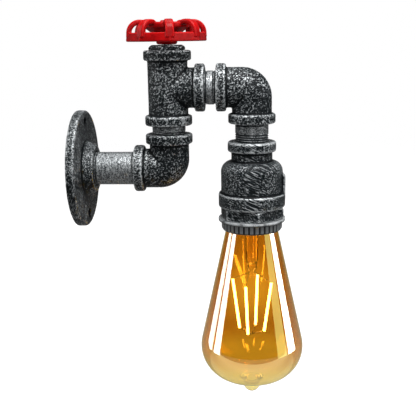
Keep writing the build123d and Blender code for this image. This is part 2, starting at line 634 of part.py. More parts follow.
def holder_cover():
    """Phenolic cap over the terminals, with one hole for the two wires."""
    outer, top = COVER_OD / 2, floor_top_z + COVER_HEIGHT
    hole, wall = COVER_HOLE / 2, COVER_WALL
    cover = turned([(outer - wall, floor_top_z), (outer, floor_top_z), (outer, top - COVER_EDGE),
                    (outer - COVER_EDGE, top), (hole, top), (hole, top - wall), (outer - wall, top - wall)])
    for side in (-1, 1):
        x = side * COVER_SCREW_AT
        boss = rod(COVER_SCREW_D / 2 + COVER_BOSS_WALL, floor_top_z, top - wall / 2, x)
        cover += boss & rod(outer - COVER_BOSS_INSET, floor_top_z, top)
        cover -= rod(COVER_SCREW_D / 2 + COVER_SCREW_GAP, floor_top_z - CUT_PAST, top + CUT_PAST, x)
    return Pos(drop_x, 0, 0) * cover


def cover_screws():
    screws = []
    top = floor_top_z + COVER_HEIGHT
    for side in (-1, 1):
        shank = rod(COVER_SCREW_D / 2, floor_top_z - COVER_SCREW_GRIP, top)
        head = rod(COVER_SCREW_HEAD_D / 2, top, top + COVER_SCREW_HEAD)
        slot = Pos(0, 0, top + COVER_SCREW_HEAD - SCREW_SLOT_DEPTH / 2) * Box(
            COVER_SCREW_HEAD_D, SCREW_SLOT_WIDTH, SCREW_SLOT_DEPTH)
        screws.append(Pos(drop_x + side * COVER_SCREW_AT, 0, 0) * (head + shank - slot))
    return Compound(children=screws)


def shade_ring():
    """Ring nut on the holder's skirt: a wide disc against the hexagon and a ribbed grip below."""
    top = hexagon_bottom_z
    disc, thread = RING_DISC_OD / 2, HOLDER_SKIRT_OD / 2 + RING_THREAD_GAP
    skirt = RING_SKIRT_OD / 2
    bore = skirt - RING_SKIRT_WALL
    thread_low = skirt_bottom_z
    bottom = top - RING_LENGTH
    disc_low = top - RING_DISC_THICK
    ring = turned([(thread, top), (disc - EDGE, top), (disc, top - EDGE), (disc, disc_low + EDGE),
                   (disc - EDGE, disc_low), (skirt, disc_low), (skirt, bottom + EDGE), (skirt - EDGE, bottom),
                   (bore, bottom), (bore, thread_low), (thread, thread_low)])
    rib_length = disc_low - bottom - RING_RIB_SHORT
    rib_depth = RING_RIB_STANDS + RING_RIB_ROOT
    rib = Pos(skirt - RING_RIB_ROOT + rib_depth / 2, 0, disc_low - rib_length / 2) * Box(
        rib_depth, RING_RIB_WIDTH, rib_length)
    ribs = [Rot(0, 0, 360 / RING_RIBS * i) * rib for i in range(RING_RIBS)]
    return Pos(drop_x, 0, 0) * (ring + ribs)


# ---------------------------------------------------------------- wires from the wall to the holder
def holder_wire(side):
    """Insulated wire from the flange's mouth through every fitting to its terminal, three bends."""
    y = side * WIRE_SPREAD
    end_z = floor_top_z + TERMINAL_FLOOR + WIRE_END_LIFT
    route = FilletPolyline((WIRE_MOUTH, y, 0), (riser_x, y, 0), (riser_x, y, arm_z), (drop_x, y, arm_z),
                           (drop_x, y, end_z), radius=[WIRE_BEND, WIRE_BEND, WIRE_BEND])
    start = Plane(origin=(WIRE_MOUTH, y, 0), z_dir=(1, 0, 0))
    wire = sweep(start * Circle(WIRE_D / 2), path=route)
    print("wire length", round(route.length, 1), "volume ratio",
          round(wire.volume / (pi * WIRE_D ** 2 / 4 * route.length), 4))
    return wire


# ---------------------------------------------------------------- bonnet, stem and packing
def bonnet():
    """Hexagon-headed bushing screwed into the tee's top; the stem turns in it."""
    low, face, top = tee_top_z - BONNET_THREAD, tee_top_z, bonnet_top_z
    corner = BONNET_AF / 2 / cos(radians(30))
    head = hexagon(BONNET_AF, face, top, BONNET_AZIMUTH + 30)
    head &= turned([(0, face), (corner, face), (corner, top - BONNET_CHAMFER),
                    (BONNET_AF / 2 - BONNET_FLAT_INSET, top), (0, top)])
    thread, c = PIPE_OD / 2, MOUTH_CHAMFER
    plug = turned([(0, low), (thread - c, low), (thread, low + c), (thread, face), (0, face)])
    stem_hole = rod(STEM_D / 2 + STEM_FIT, low - CUT_PAST, top + CUT_PAST)
    box_low = top - GLAND_HEIGHT - PACKING_HEIGHT
    stuffing_box = rod(STUFFING_BOX_D / 2, box_low, top + CUT_PAST)
    return Pos(riser_x, 0, 0) * (head + plug - stem_hole - stuffing_box)


def stem_packing():
    low = bonnet_top_z - GLAND_HEIGHT - PACKING_HEIGHT
    outer = STUFFING_BOX_D / 2 - PACKING_GAP
    return tube(outer, STEM_D / 2 + STEM_FIT, low, low + PACKING_HEIGHT, riser_x)


def gland_bush():
    low = bonnet_top_z - GLAND_HEIGHT
    outer = STUFFING_BOX_D / 2 - GLAND_GAP
    return tube(outer, STEM_D / 2 + STEM_FIT, low, bonnet_top_z, riser_x)


def valve_stem():
    """Stem with a collar under the bonnet, a square for the wheel and a threaded end for the nut."""
    collar_top = tee_top_z - BONNET_THREAD - STEM_COLLAR_GAP
    collar_low = collar_top - STEM_COLLAR_THICK
    collar, journal, thread = STEM_COLLAR_D / 2, STEM_D / 2, STEM_THREAD_D / 2
    square_top = wheel_top_z - SQUARE_SHORT
    end = wheel_top_z + WASHER_THICK + NUT_HEIGHT + STEM_THREAD_SHOWS
    stem = turned([(0, collar_low), (collar - EDGE, collar_low), (collar, collar_low + EDGE),
                   (collar, collar_top), (journal, collar_top), (journal, wheel_z), (0, wheel_z)])
    square = Pos(0, 0, (wheel_z + square_top) / 2) * Box(STEM_SQUARE, STEM_SQUARE, square_top - wheel_z)
    threaded_end = turned([(0, square_top), (thread, square_top), (thread, end - EDGE),
                           (thread - EDGE, end), (0, end)])
    return Pos(riser_x, 0, 0) * Rot(0, 0, WHEEL_AZIMUTH) * (stem + square + threaded_end)


# ---------------------------------------------------------------- handwheel
def wheel_arch():
    """One arched spoke in the XZ plane, from a corner of the rim over to the inner ring."""
    rim_r, ring_r = WHEEL_OD / 2 - ARCH_THICK / 2 - RIM_DRAFT / 2, INNER_RING_D / 2
    crown_z = rim_z + ARCH_RISE - ARCH_THICK / 2
    start, over = Vector(rim_r, 0, rim_z + RIM_HEIGHT / 2), Vector(rim_r - RIM_DRAFT, 0, crown_z)
    inner = Vector(ring_r + ARCH_THICK / 2, 0, crown_z - ARCH_FALL)
    end = Vector(ring_r, 0, rim_z + INNER_RING_RISE - INNER_RING_DEPTH / 2)
    path = FilletPolyline(start, over, inner, end, radius=[ARCH_BEND, ARCH_INNER_BEND])
    section = Plane(origin=start, x_dir=(0, 1, 0), z_dir=over - start) * RectangleRounded(
        ARCH_WIDTH, ARCH_THICK, WHEEL_ROUND)
    return sweep(section, path=path)


def wheel_rim():
    """Eight-sided rim that leans in slightly towards its top."""
    outer = WHEEL_OD / 2
    low = RegularPolygon(outer, WHEEL_SIDES)
    high = Pos(0, 0, RIM_HEIGHT) * RegularPolygon(outer - RIM_DRAFT, WHEEL_SIDES)
    solid = loft([low, high])
    inner = RegularPolygon(outer - RIM_THICK / cos(pi / WHEEL_SIDES), WHEEL_SIDES)
    solid -= Pos(0, 0, -CUT_PAST) * extrude(inner, RIM_HEIGHT + 2 * CUT_PAST)
    return Pos(0, 0, rim_z) * solid


def handwheel():
    hub, ring_in = WHEEL_HUB_D / 2, (INNER_RING_D - INNER_RING_WIDTH) / 2
    ring_out = ring_in + INNER_RING_WIDTH
    ring_top = rim_z + INNER_RING_RISE
    ring_low = ring_top - INNER_RING_DEPTH
    r = WHEEL_ROUND
    dish = turned([(0, wheel_z), (hub - r, wheel_z), (hub, wheel_z + r),
                   (hub, wheel_top_z - WEB_THICK - WEB_HUB_DROP), (ring_out, ring_low),
                   (ring_out, ring_top - r), (ring_out - r, ring_top), (ring_in + r, ring_top),
                   (ring_in, ring_top - r), (ring_in, ring_low + WEB_THICK - WEB_RING_DROP),
                   (hub, wheel_top_z), (0, wheel_top_z)])
    wheel = dish + wheel_rim()
    arch = wheel_arch()
    wheel += [Rot(0, 0, 360 / WHEEL_SIDES * i) * arch for i in range(WHEEL_SIDES)]
    square = STEM_SQUARE + 2 * WHEEL_SQUARE_GAP
    wheel -= Pos(0, 0, (wheel_z + wheel_top_z) / 2) * Box(square, square, WHEEL_HUB_LENGTH + 2 * CUT_PAST)
    return Pos(riser_x, 0, 0) * Rot(0, 0, WHEEL_AZIMUTH) * wheel


def wheel_washer():
    hole = STEM_THREAD_D / 2 + WASHER_GAP
    return tube(WASHER_OD / 2, hole, wheel_top_z, wheel_top_z + WASHER_THICK, riser_x)


def wheel_nut():
    low = wheel_top_z + WASHER_THICK
    high = low + NUT_HEIGHT
    corner, flat = NUT_AF / 2 / cos(radians(30)), NUT_AF / 2 + NUT_FLAT_PAST
    nut = hexagon(NUT_AF, low, high, 0)
    nut &= turned([(0, low), (flat, low), (corner, low + NUT_CHAMFER), (corner, high - NUT_CHAMFER),
                   (flat, high), (0, high)])
    nut -= rod(STEM_THREAD_D / 2 + THREAD_GAP, low - CUT_PAST, high + CUT_PAST)
    return Pos(riser_x, 0, 0) * nut


# ---------------------------------------------------------------- lamp
def bulb_cap():
    """Thin screw cap: plain skirt on the glass, rolled thread, taper to the insulator."""
    outer, t = CAP_OD / 2, CAP_SHEET
    taper_low = cap_top_z - CAP_TAPER
    cap = turned(rolled_wall(outer, t, CAP_WAVE, cap_bottom_z, taper_low, CAP_TURNS, cap_thread_low_z))
    last, opening = outer - CAP_WAVE, CAP_TIP_OPENING / 2
    cap += turned([(last - t, taper_low - CAP_LAP), (last, taper_low - CAP_LAP), (last, taper_low),
                   (opening, cap_top_z), (opening - CAP_LIP, cap_top_z), (opening - CAP_LIP, cap_top_z - t),
                   (last - t, taper_low - t)])
    return Pos(drop_x, 0, 0) * cap


def cap_insulator():
    """Black glass between the cap and the tip."""
    bore, high = TIP_SHANK_D / 2 + TIP_SHANK_GAP, cap_top_z + CAP_INSULATOR_HEIGHT
    wide = CAP_TIP_OPENING / 2 - INSULATOR_GROOVE
    inside = CAP_TIP_OPENING / 2 - CAP_LIP - INSULATOR_GROOVE
    low = cap_top_z - INSULATOR_FOOT
    return turned([(bore, low), (inside, low), (inside, cap_top_z), (wide, cap_top_z),
                   (TIP_D / 2 + EDGE, high), (bore, high)], drop_x)


def tip_contact():
    """Solder button with its shank through the insulator."""
    seat, button, shank = cap_top_z + CAP_INSULATOR_HEIGHT, TIP_D / 2, TIP_SHANK_D / 2
    shank_low = cap_top_z - INSULATOR_FOOT
    return turned([(0, shank_low), (shank, shank_low), (shank, seat), (button, seat),
                   (button, seat + TIP_EDGE), (button - TIP_BEVEL, tip_z), (0, tip_z)], drop_x)


def bulb_outline(inset):
    """Closed outline of the lamp's glass, moved in by inset, from the foot in the cap to the pip."""
    lean = radians(FLANK_LEAN)
    foot, neck, pip = GLASS_FOOT_OD / 2 - inset, NECK_OD / 2 - inset, PIP_D / 2
    # the flare passes through the ring: an arc that curls outwards, then one of the same radius back
    # to the flank's lean
    flare_stands = RING_SKIRT_OD / 2 - RING_SKIRT_WALL - LAMP_RING_GAP - NECK_OD / 2
    ratio = flare_stands / FLARE_HEIGHT
    most = atan2(ratio, 1) + acos((1 + cos(lean) + ratio * sin(lean)) / (2 * sqrt(1 + ratio ** 2)))
    flare = FLARE_HEIGHT / (2 * sin(most) - sin(lean))
    outward, inward = flare + inset, flare - inset

    def on_outward(angle):
        return neck + outward * (1 - cos(angle)), 0, neck_z - outward * sin(angle)

    knee_r, _, knee_z = on_outward(most)

    def on_inward(angle):
        return knee_r + inward * (cos(angle) - cos(most)), 0, knee_z - inward * (sin(most) - sin(angle))

    # the corner below the widest place; the flank runs straight down to it
    corner, corner_r = GLASS_CORNER - inset, GLASS_OD / 2 - GLASS_CORNER
    flank_run = (corner_r + GLASS_CORNER * cos(lean) - NECK_OD / 2 - flare_stands) / tan(lean)
    corner_z = flank_z - flank_run - GLASS_CORNER * sin(lean)

    def on_corner(angle):
        return corner_r + corner * cos(angle), 0, corner_z - corner * sin(angle)

    # the bottom: a wide arc that the corner runs into
    bottom, swing = GLASS_BOTTOM - inset, acos(corner_r / (GLASS_BOTTOM - GLASS_CORNER))
    bottom_z = corner_z + sqrt((GLASS_BOTTOM - GLASS_CORNER) ** 2 - corner_r ** 2)

    def on_bottom(r):
        return r, 0, bottom_z - sqrt(bottom ** 2 - r ** 2)

    flare_start, flare_end = on_outward(0), on_inward(lean)
    flank_end, corner_end = on_corner(-lean), on_corner(swing)
    top, pip_root = (0, 0, foot_top_z), on_bottom(pip)
    edges = [Polyline([top, (foot, 0, foot_top_z), (foot, 0, cap_bottom_z),
                       (neck, 0, cap_bottom_z - NECK_CONE), flare_start]),
             ThreePointArc(flare_start, on_outward(most / 2), on_outward(most)),
             ThreePointArc(on_outward(most), on_inward((most + lean) / 2), flare_end),
             Line(flare_end, flank_end),
             ThreePointArc(flank_end, on_corner((swing - lean) / 2), corner_end),
             ThreePointArc(corner_end, on_bottom((corner_end[0] + pip) / 2), pip_root)]
    if inset:
        return edges + [Polyline([pip_root, (0, 0, pip_root[2]), top])]
    return edges + pip_outline(pip_root) + [Line((0, 0, pip_root[2] - PIP_LENGTH), top)]


def pip_outline(root):
    """Half outline of the pip where the glass was drawn off: a flare, a taper and a round end."""
    tip, end = PIP_TIP_D / 2, root[2] - PIP_LENGTH
    waist = (PIP_WAIST_D / 2, 0, root[2] - PIP_FLARE)
    middle = ((root[0] + waist[0]) / 2 - PIP_FLARE_SAG, 0, (root[2] + waist[2]) / 2 + PIP_FLARE_SAG)
    ball, halfway = (tip, 0, end + tip), (tip * cos(pi / 4), 0, end + tip - tip * sin(pi / 4))
    return [ThreePointArc(root, middle, waist), Line(waist, ball), ThreePointArc(ball, halfway, (0, 0, end))]


def bulb_glass():
    outside = revolve(make_face(bulb_outline(0)), axis=Axis.Z)
    inside = revolve(make_face(bulb_outline(GLASS_WALL)), axis=Axis.Z)
    return Pos(drop_x, 0, 0) * (outside - inside)


def lead_middle(pair):
    """Where a lead stands in the press: beside the glass rod, between its two filaments."""
    angle = radians(FILAMENT_AZIMUTH + 360 / FILAMENTS * (pair + 0.5))
    r = STEM_ROD_D / 2 + LEAD_D / 2 + LEAD_FROM_ROD
    return r * cos(angle), r * sin(angle)


def glass_stem():
    """Flared tube, press and rod that carry the filaments, all one glass."""
    flare, outer, rod_r = GLASS_FOOT_OD / 2 - GLASS_WALL - STEM_GLASS_GAP, STEM_TUBE_OD / 2, STEM_ROD_D / 2
    wall, inner = STEM_TUBE_WALL, STEM_TUBE_OD / 2 - STEM_TUBE_WALL
    top = foot_top_z
    tube_z = top - STEM_FLARE_HEIGHT
    end = filament_top_z + STEM_ROD_RISE
    stem = turned([(flare - wall, top), (flare, top), (outer, tube_z), (outer, press_z + PRESS_HALF),
                   (PRESS_OD / 2, press_z), (rod_r, press_z - PRESS_HALF), (rod_r, end + EDGE),
                   (rod_r - EDGE, end), (0, end), (0, press_z + PRESS_HALF + wall),
                   (inner, press_z + 2 * PRESS_HALF), (inner, tube_z)])
    for pair in LEAD_PAIRS:
        x, y = lead_middle(pair)
        stem -= rod(LEAD_D / 2 + WIRE_BARE_GAP, press_z - PRESS_HALF - CUT_PAST, press_z + CUT_PAST, x, y)
    return Pos(drop_x, 0, 0) * stem


def filament_ends(i):
    angle = radians(FILAMENT_AZIMUTH + 360 / FILAMENTS * i)
    slope = FILAMENT_TOP_SPREAD - FILAMENT_FOOT_SPREAD
    foot_z = filament_top_z - sqrt(FILAMENT_LENGTH ** 2 - slope ** 2)
    top = Vector(FILAMENT_TOP_SPREAD * cos(angle), FILAMENT_TOP_SPREAD * sin(angle), filament_top_z)
    foot = Vector(FILAMENT_FOOT_SPREAD * cos(angle), FILAMENT_FOOT_SPREAD * sin(angle), foot_z)
    return top, foot


def straight_bar(start, end, diameter):
    """Round bar between two points."""
    direction = end - start
    place = Plane(origin=start, z_dir=direction)
    return extrude(place * Circle(diameter / 2), direction.length)


def led_filaments():
    bars = []
    for i in range(FILAMENTS):
        top, foot = filament_ends(i)
        bars.append(Pos(drop_x, 0, 0) * straight_bar(top, foot, FILAMENT_D))
    return Compound(children=bars)


def cut_filaments(wires, which):
    """Cut the seats of some filaments out of the wires that hold them."""
    for i in which:
        top, foot = filament_ends(i)
        wires -= straight_bar(top, foot, FILAMENT_D + 2 * FILAMENT_SEAT)
    return wires


def lead_wires():
    """Two leads out of the press: each feeds two filaments that stand side by side."""
    leads = []
    for pair in LEAD_PAIRS:
        x, y = lead_middle(pair)
        fork = Vector(x, y, filament_top_z + LEAD_FORK)
        lead = straight_bar(Vector(x, y, press_z + LEAD_IN_PRESS), fork, LEAD_D)
        lead += Pos(*fork) * Sphere(LEAD_D / 2)
        for i in (pair, pair + 1):
            top, foot = filament_ends(i)
            lead += straight_bar(fork, top + (top - foot).normalized() * LEAD_TO_FILAMENT, LEAD_D)
        leads.append(Pos(drop_x, 0, 0) * cut_filaments(lead, (pair, pair + 1)))
    return Compound(children=leads)


def bridge_wire():
    """Cross of wire that joins the lower ends of the filaments."""
    hub = Vector(0, 0, filament_ends(0)[1].Z - BRIDGE_DROP)
    cross = Pos(*hub) * Sphere(BRIDGE_BEAD)
    for i in range(FILAMENTS):
        top, foot = filament_ends(i)
        cross += straight_bar(hub, foot + (foot - top).normalized() * LEAD_TO_FILAMENT, LEAD_D)
    return Pos(drop_x, 0, 0) * cut_filaments(cross, range(FILAMENTS))


# ---------------------------------------------------------------- the pieces, from the wall outwards
save("wall_flange", wall_flange())
save("earth_tag", earth_tag())
save("earth_screw", earth_screw())
save("wall_nipple", along_x(pipe_nipple(WALL_NIPPLE_SHOWS, WALL_NIPPLE_TURNS, WALL_NIPPLE_TURNS),
                            hub_face_x - THREAD_GRIP))
save("lower_elbow", Pos(riser_x, 0, 0) * elbow())
save("riser_nipple", Pos(riser_x, 0, ELBOW_REACH - THREAD_GRIP) * pipe_nipple(RISER_SHOWS, RISER_TURNS, 0))
save("pipe_tee", Pos(riser_x, 0, arm_z) * tee())
save("bonnet", bonnet())
save("stem_packing", stem_packing())
save("gland_bush", gland_bush())
save("valve_stem", valve_stem())
save("handwheel", handwheel())
save("wheel_washer", wheel_washer())
save("wheel_nut", wheel_nut())
save("arm_nipple", along_x(pipe_nipple(ARM_SHOWS, ARM_TURNS, ARM_TURNS), tee_side_x - THREAD_GRIP, arm_z))
save("upper_elbow", Pos(drop_x, 0, arm_z) * mirror(elbow(), Plane.XY))
save("drop_nipple", Pos(drop_x, 0, reducer_top_z - THREAD_GRIP)
     * pipe_nipple(DROP_SHOWS, DROP_LOWER_TURNS, DROP_UPPER_TURNS))
save("reducer_socket", reducer_socket())
save("hexagon_bushing", hexagon_bushing())
save("holder_body", holder_body())
save("screw_shell", screw_shell())
save("centre_contact", centre_contact())
save("live_terminal", live_terminal())
save("neutral_terminal", neutral_terminal())
save("terminal_screws", terminal_screws())
save("holder_cover", holder_cover())
save("cover_screws", cover_screws())
save("shade_ring", shade_ring())
save("live_wire", holder_wire(-1))
save("neutral_wire", holder_wire(1))
save("bulb_cap", bulb_cap())
save("cap_insulator", cap_insulator())
save("tip_contact", tip_contact())
save("bulb_glass", bulb_glass())
save("glass_stem", glass_stem())
save("led_filaments", led_filaments())
save("lead_wires", lead_wires())
save("bridge_wire", bridge_wire())
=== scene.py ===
import math

import bpy
import numpy as np
from mathutils import Matrix, Vector, noise


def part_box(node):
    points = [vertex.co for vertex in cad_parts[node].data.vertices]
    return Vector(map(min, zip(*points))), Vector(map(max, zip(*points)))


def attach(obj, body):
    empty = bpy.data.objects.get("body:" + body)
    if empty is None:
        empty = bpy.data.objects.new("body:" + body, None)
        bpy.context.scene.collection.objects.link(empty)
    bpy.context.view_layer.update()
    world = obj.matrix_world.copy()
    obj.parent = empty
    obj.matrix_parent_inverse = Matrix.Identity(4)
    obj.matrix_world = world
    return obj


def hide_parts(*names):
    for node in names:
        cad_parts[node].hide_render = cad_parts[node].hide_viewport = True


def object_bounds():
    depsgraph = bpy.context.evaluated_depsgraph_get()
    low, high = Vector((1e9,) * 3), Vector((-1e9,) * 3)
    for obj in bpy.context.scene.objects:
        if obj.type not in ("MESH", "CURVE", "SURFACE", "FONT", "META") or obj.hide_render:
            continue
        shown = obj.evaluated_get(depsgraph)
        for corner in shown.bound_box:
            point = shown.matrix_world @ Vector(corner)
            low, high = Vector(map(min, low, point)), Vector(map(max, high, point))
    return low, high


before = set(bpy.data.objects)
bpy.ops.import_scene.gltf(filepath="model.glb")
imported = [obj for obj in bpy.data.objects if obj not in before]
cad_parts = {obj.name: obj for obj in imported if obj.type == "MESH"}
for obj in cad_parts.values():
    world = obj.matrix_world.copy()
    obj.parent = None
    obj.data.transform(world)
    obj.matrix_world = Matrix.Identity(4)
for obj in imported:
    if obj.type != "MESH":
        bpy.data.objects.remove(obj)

cad_low, cad_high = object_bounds()
scene = bpy.context.scene

# ---------------------------------------------------------------- studio
# The light hangs in front of white paper that runs on below it. A large softbox stands above it, weak
# ones fill from all sides, and tall strip boxes draw the bands that run down the lamp's glass. Places
# are in mm and angles in degrees; the paper and the boxes are measured in metres.
MM = 0.001
CAMERA_AT = (143.27, -579.5, 103.64)
CAMERA_TURN, CAMERA_DOWN, CAMERA_ROLL = 3.676, 13.313, -0.811
CAMERA_LENS, CAMERA_SENSOR = 62.3, 36.0
PAPER_BELOW = 62.0
PAPER_REACH, PAPER_RING, PAPER_SIDES = 2.6, 1.1, 96
FADE_FROM, FADE_TO = 0.66, 2.08
PAPER_WHITE, WHITE = (0.22, 0.22, 0.22, 1.0), (1.0, 1.0, 1.0, 1.0)
MIRRORED_NEAR, MIRRORED_NARROW, MIRRORED_SHINE = 0.17, 0.12, 1.6
MIRRORED_WARM = (0.98, 0.96, 0.56, 1.0)
ROOM_FRONT, ROOM_BACK, ROOM_IN_MIRROR = 0.035, 0.15, 0.3
SOFTBOXES = {
    # name: place in mm, width and height in m, strength in W
    "key_box": ((250.0, -330.0, 830.0), (0.7, 0.4), 16.5),
    "front_box": ((150.0, -900.0, 350.0), (0.6, 0.6), 3.2),
    "fill_box": ((-620.0, -60.0, 260.0), (0.4, 0.8), 4.0),
    "top_box": ((150.0, 260.0, 820.0), (0.8, 0.4), 4.0),
    "face_box": ((700.0, -160.0, 260.0), (0.5, 0.5), 2.6),
}
STRIP_BOXES = {
    "left_strip": ((-425.0, -95.0, 60.0), (0.19, 0.95), 5.5),
    "left_edge": ((-416.0, 139.0, 60.0), (0.20, 0.95), 3.6),
    "right_strip": ((640.0, 50.0, 60.0), (0.22, 0.95), 9.0),
    "right_glow": ((600.0, -190.0, 60.0), (0.22, 0.95), 1.6),
}
GLOW_BOX_YELLOW = (0.85, 1.0, 0.35)
LIT_POINT = Vector((110.0, 0.0, -20.0)) * MM


def point_at(thing, target):
    """Turns a light so that it shines at a point."""
    thing.rotation_euler = (target - thing.location).to_track_quat("-Z", "Y").to_euler()


def softbox(name, place, size, watts):
    """A rectangle of light that shines at the piece and is out of the camera's sight."""
    light = bpy.data.lights.new(name, "AREA")
    light.shape = "RECTANGLE"
    light.size, light.size_y = size
    light.energy = watts
    box = bpy.data.objects.new(name, light)
    box.location = Vector(place) * MM
    scene.collection.objects.link(box)
    point_at(box, LIT_POINT)
    box.visible_camera = False
    return box


def camera_axes():
    """The camera's right, up and backward directions."""
    turn, down, roll = (math.radians(a) for a in (CAMERA_TURN, CAMERA_DOWN, CAMERA_ROLL))
    ahead = Vector((-math.sin(turn) * math.cos(down), math.cos(turn) * math.cos(down), -math.sin(down)))
    level = Vector((math.cos(turn), math.sin(turn), 0.0))
    upright = level.cross(ahead)
    right = level * math.cos(roll) + upright * math.sin(roll)
    return right, upright * math.cos(roll) - level * math.sin(roll), -ahead


camera = bpy.data.objects.new("camera", bpy.data.cameras.new("camera"))
scene.collection.objects.link(camera)
camera.data.lens, camera.data.sensor_width = CAMERA_LENS, CAMERA_SENSOR
camera.matrix_world = Matrix.Translation(Vector(CAMERA_AT) * MM) @ Matrix(camera_axes()).transposed().to_4x4()
scene.camera = camera
scene.view_settings.view_transform = "Standard"

main_boxes = [softbox(box_name, *box_facts) for box_name, box_facts in SOFTBOXES.items()]
strip_boxes = [softbox(box_name, *box_facts) for box_name, box_facts in STRIP_BOXES.items()]
strip_boxes[-1].data.color = GLOW_BOX_YELLOW


class Nodes:
    """Shader nodes in the making, with short ways to add the kinds that are used most."""

    def __init__(self, tree):
        self.tree = tree

    def node(self, kind, inputs=None, **settings):
        """Adds a node. Each input takes a plain value, or a socket to be linked."""
        made = self.tree.nodes.new(kind)
        for key, value in settings.items():
            setattr(made, key, value)
        for key, value in (inputs or {}).items():
            self.feed(made.inputs[key], value)
        return made

    def feed(self, socket, value):
        if isinstance(value, bpy.types.NodeSocket):
            self.tree.links.new(value, socket)
        else:
            socket.default_value = value

    def calc(self, operation, first, second=0.0):
        return self.node("ShaderNodeMath", {0: first, 1: second}, operation=operation).outputs["Value"]

    def distance(self, place, point):
        return self.node("ShaderNodeVectorMath", {0: place, 1: point}, operation="DISTANCE").outputs["Value"]

    def between(self, value, low, high, to_low=0.0, to_high=1.0):
        """Maps a stretch of values smoothly onto another, held at both ends."""
        inputs = {"Value": value, "From Min": low, "From Max": high, "To Min": to_low, "To Max": to_high}
        made = self.node("ShaderNodeMapRange", inputs, interpolation_type="SMOOTHSTEP")
        return made.outputs["Result"]

    def blend(self, factor, first, second):
        """Mixes two colours: 6 and 7 are the Mix node's colour inputs, and 2 is its colour output."""
        made = self.node("ShaderNodeMix", {0: factor, 6: first, 7: second}, data_type="RGBA")
        return made.outputs[2]


class Finish(Nodes):
    """A material in the making: its Principled shader and what feeds it."""

    def __init__(self, name):
        self.material = bpy.data.materials.new(name)
        self.material.use_nodes = True
        super().__init__(self.material.node_tree)
        self.shader = self.tree.nodes["Principled BSDF"]
        self.place = self.node("ShaderNodeTexCoord").outputs["Object"]

    def set(self, **sockets):
        """Sets or links the shader's sockets, written with _ for a space."""
        for key, value in sockets.items():
            self.feed(self.shader.inputs[key.replace("_", " ")], value)
        return self

    def stretched(self, stretch, turn=(0.0, 0.0, 0.0)):
        """Places turned first and then drawn out, each way by its factor."""
        inputs = {"Vector": self.place, "Scale": stretch, "Rotation": turn}
        return self.node("ShaderNodeMapping", inputs, vector_type="TEXTURE").outputs["Vector"]

    def grain(self, size_mm, detail=2.0, place=None, roughness=0.5):
        """Noise whose lumps are about that many millimetres apart."""
        inputs = {"Vector": place or self.place, "Scale": 1.0 / (size_mm * MM), "Detail": detail,
                  "Roughness": roughness}
        return self.node("ShaderNodeTexNoise", inputs).outputs["Fac"]

    def painted(self, name):
        """A value that the mesh carries at each point."""
        return self.node("ShaderNodeAttribute", attribute_name=name).outputs["Fac"]

    def bump(self, height, depth_mm, strength=1.0):
        inputs = {"Height": height, "Distance": depth_mm * MM, "Strength": strength}
        self.set(Normal=self.node("ShaderNodeBump", inputs).outputs["Normal"])
        return self


def room_light():
    """White to the camera and through glass; for the rest, brighter behind the piece than in front of it."""
    world = bpy.data.worlds.new("room")
    scene.world = world
    world.use_nodes = True
    room = Nodes(world.node_tree)
    path = room.node("ShaderNodeLightPath").outputs
    direction = room.node("ShaderNodeTexCoord").outputs["Generated"]
    depth = room.node("ShaderNodeSeparateXYZ", {0: direction}).outputs["Y"]
    mirrored = room.between(path["Is Singular Ray"], 0.0, 1.0, 1.0, ROOM_IN_MIRROR)
    shade = room.calc("MULTIPLY", room.between(depth, -0.5, 0.8, ROOM_FRONT, ROOM_BACK), mirrored)
    seen = room.calc("MAXIMUM", path["Is Camera Ray"], path["Is Transmission Ray"])
    wall = room.tree.nodes["Background"].inputs
    room.feed(wall["Color"], WHITE)
    room.feed(wall["Strength"], room.calc("MAXIMUM", seen, shade))


def paper_floor():
    """A round sheet that lies below the piece and fades out before its rim."""
    z = cad_low.z - PAPER_BELOW * MM
    sides, middle = PAPER_SIDES, LIT_POINT
    points = [(middle.x, middle.y, z)]
    for reach in (PAPER_RING, PAPER_REACH):
        for i in range(sides):
            a = math.tau * i / sides
            points.append((middle.x + reach * math.cos(a), middle.y + reach * math.sin(a), z))
    faces = [(0, 1 + i, 1 + (i + 1) % sides) for i in range(sides)]
    faces += [(1 + i, 1 + sides + i, 1 + sides + (i + 1) % sides, 1 + (i + 1) % sides) for i in range(sides)]
    mesh = bpy.data.meshes.new("paper")
    mesh.from_pydata(points, [], faces)
    paper = bpy.data.objects.new("paper", mesh)
    scene.collection.objects.link(paper)
    finish = Finish("white_paper").set(Base_Color=PAPER_WHITE, Roughness=0.9, Specular_IOR_Level=0.1)
    from_middle = finish.distance(finish.place, (middle.x, middle.y, z))
    finish.set(Alpha=finish.between(from_middle, FADE_FROM, FADE_TO, 1.0, 0.0))
    # a long oval of the paper in front glows for the glass alone, which mirrors it in the lamp's belly
    narrowed = finish.node("ShaderNodeVectorMath", {0: finish.place, 1: (MIRRORED_NARROW, 1.0, 1.0)},
                           operation="MULTIPLY").outputs["Vector"]
    oval = (middle.x * MIRRORED_NARROW, middle.y - MIRRORED_NEAR * 0.8, z)
    near = finish.between(finish.distance(narrowed, oval), MIRRORED_NEAR, MIRRORED_NEAR * 1.12,
                          MIRRORED_SHINE, 0.0)
    ahead = finish.node("ShaderNodeSeparateXYZ", {0: finish.place}).outputs["Y"]
    near = finish.calc("MULTIPLY", near, finish.between(ahead, middle.y - MIRRORED_NEAR, middle.y, 1.0, 0.3))
    path = finish.node("ShaderNodeLightPath").outputs
    mirrored = finish.calc("MULTIPLY", path["Is Singular Ray"], near)
    seen = finish.calc("MAXIMUM", path["Is Camera Ray"], path["Is Transmission Ray"])
    finish.set(Emission_Strength=finish.calc("MAXIMUM", seen, mirrored))
    finish.set(Emission_Color=finish.blend(path["Is Singular Ray"], WHITE, MIRRORED_WARM))
    mesh.materials.append(finish.material)


room_light()
paper_floor()

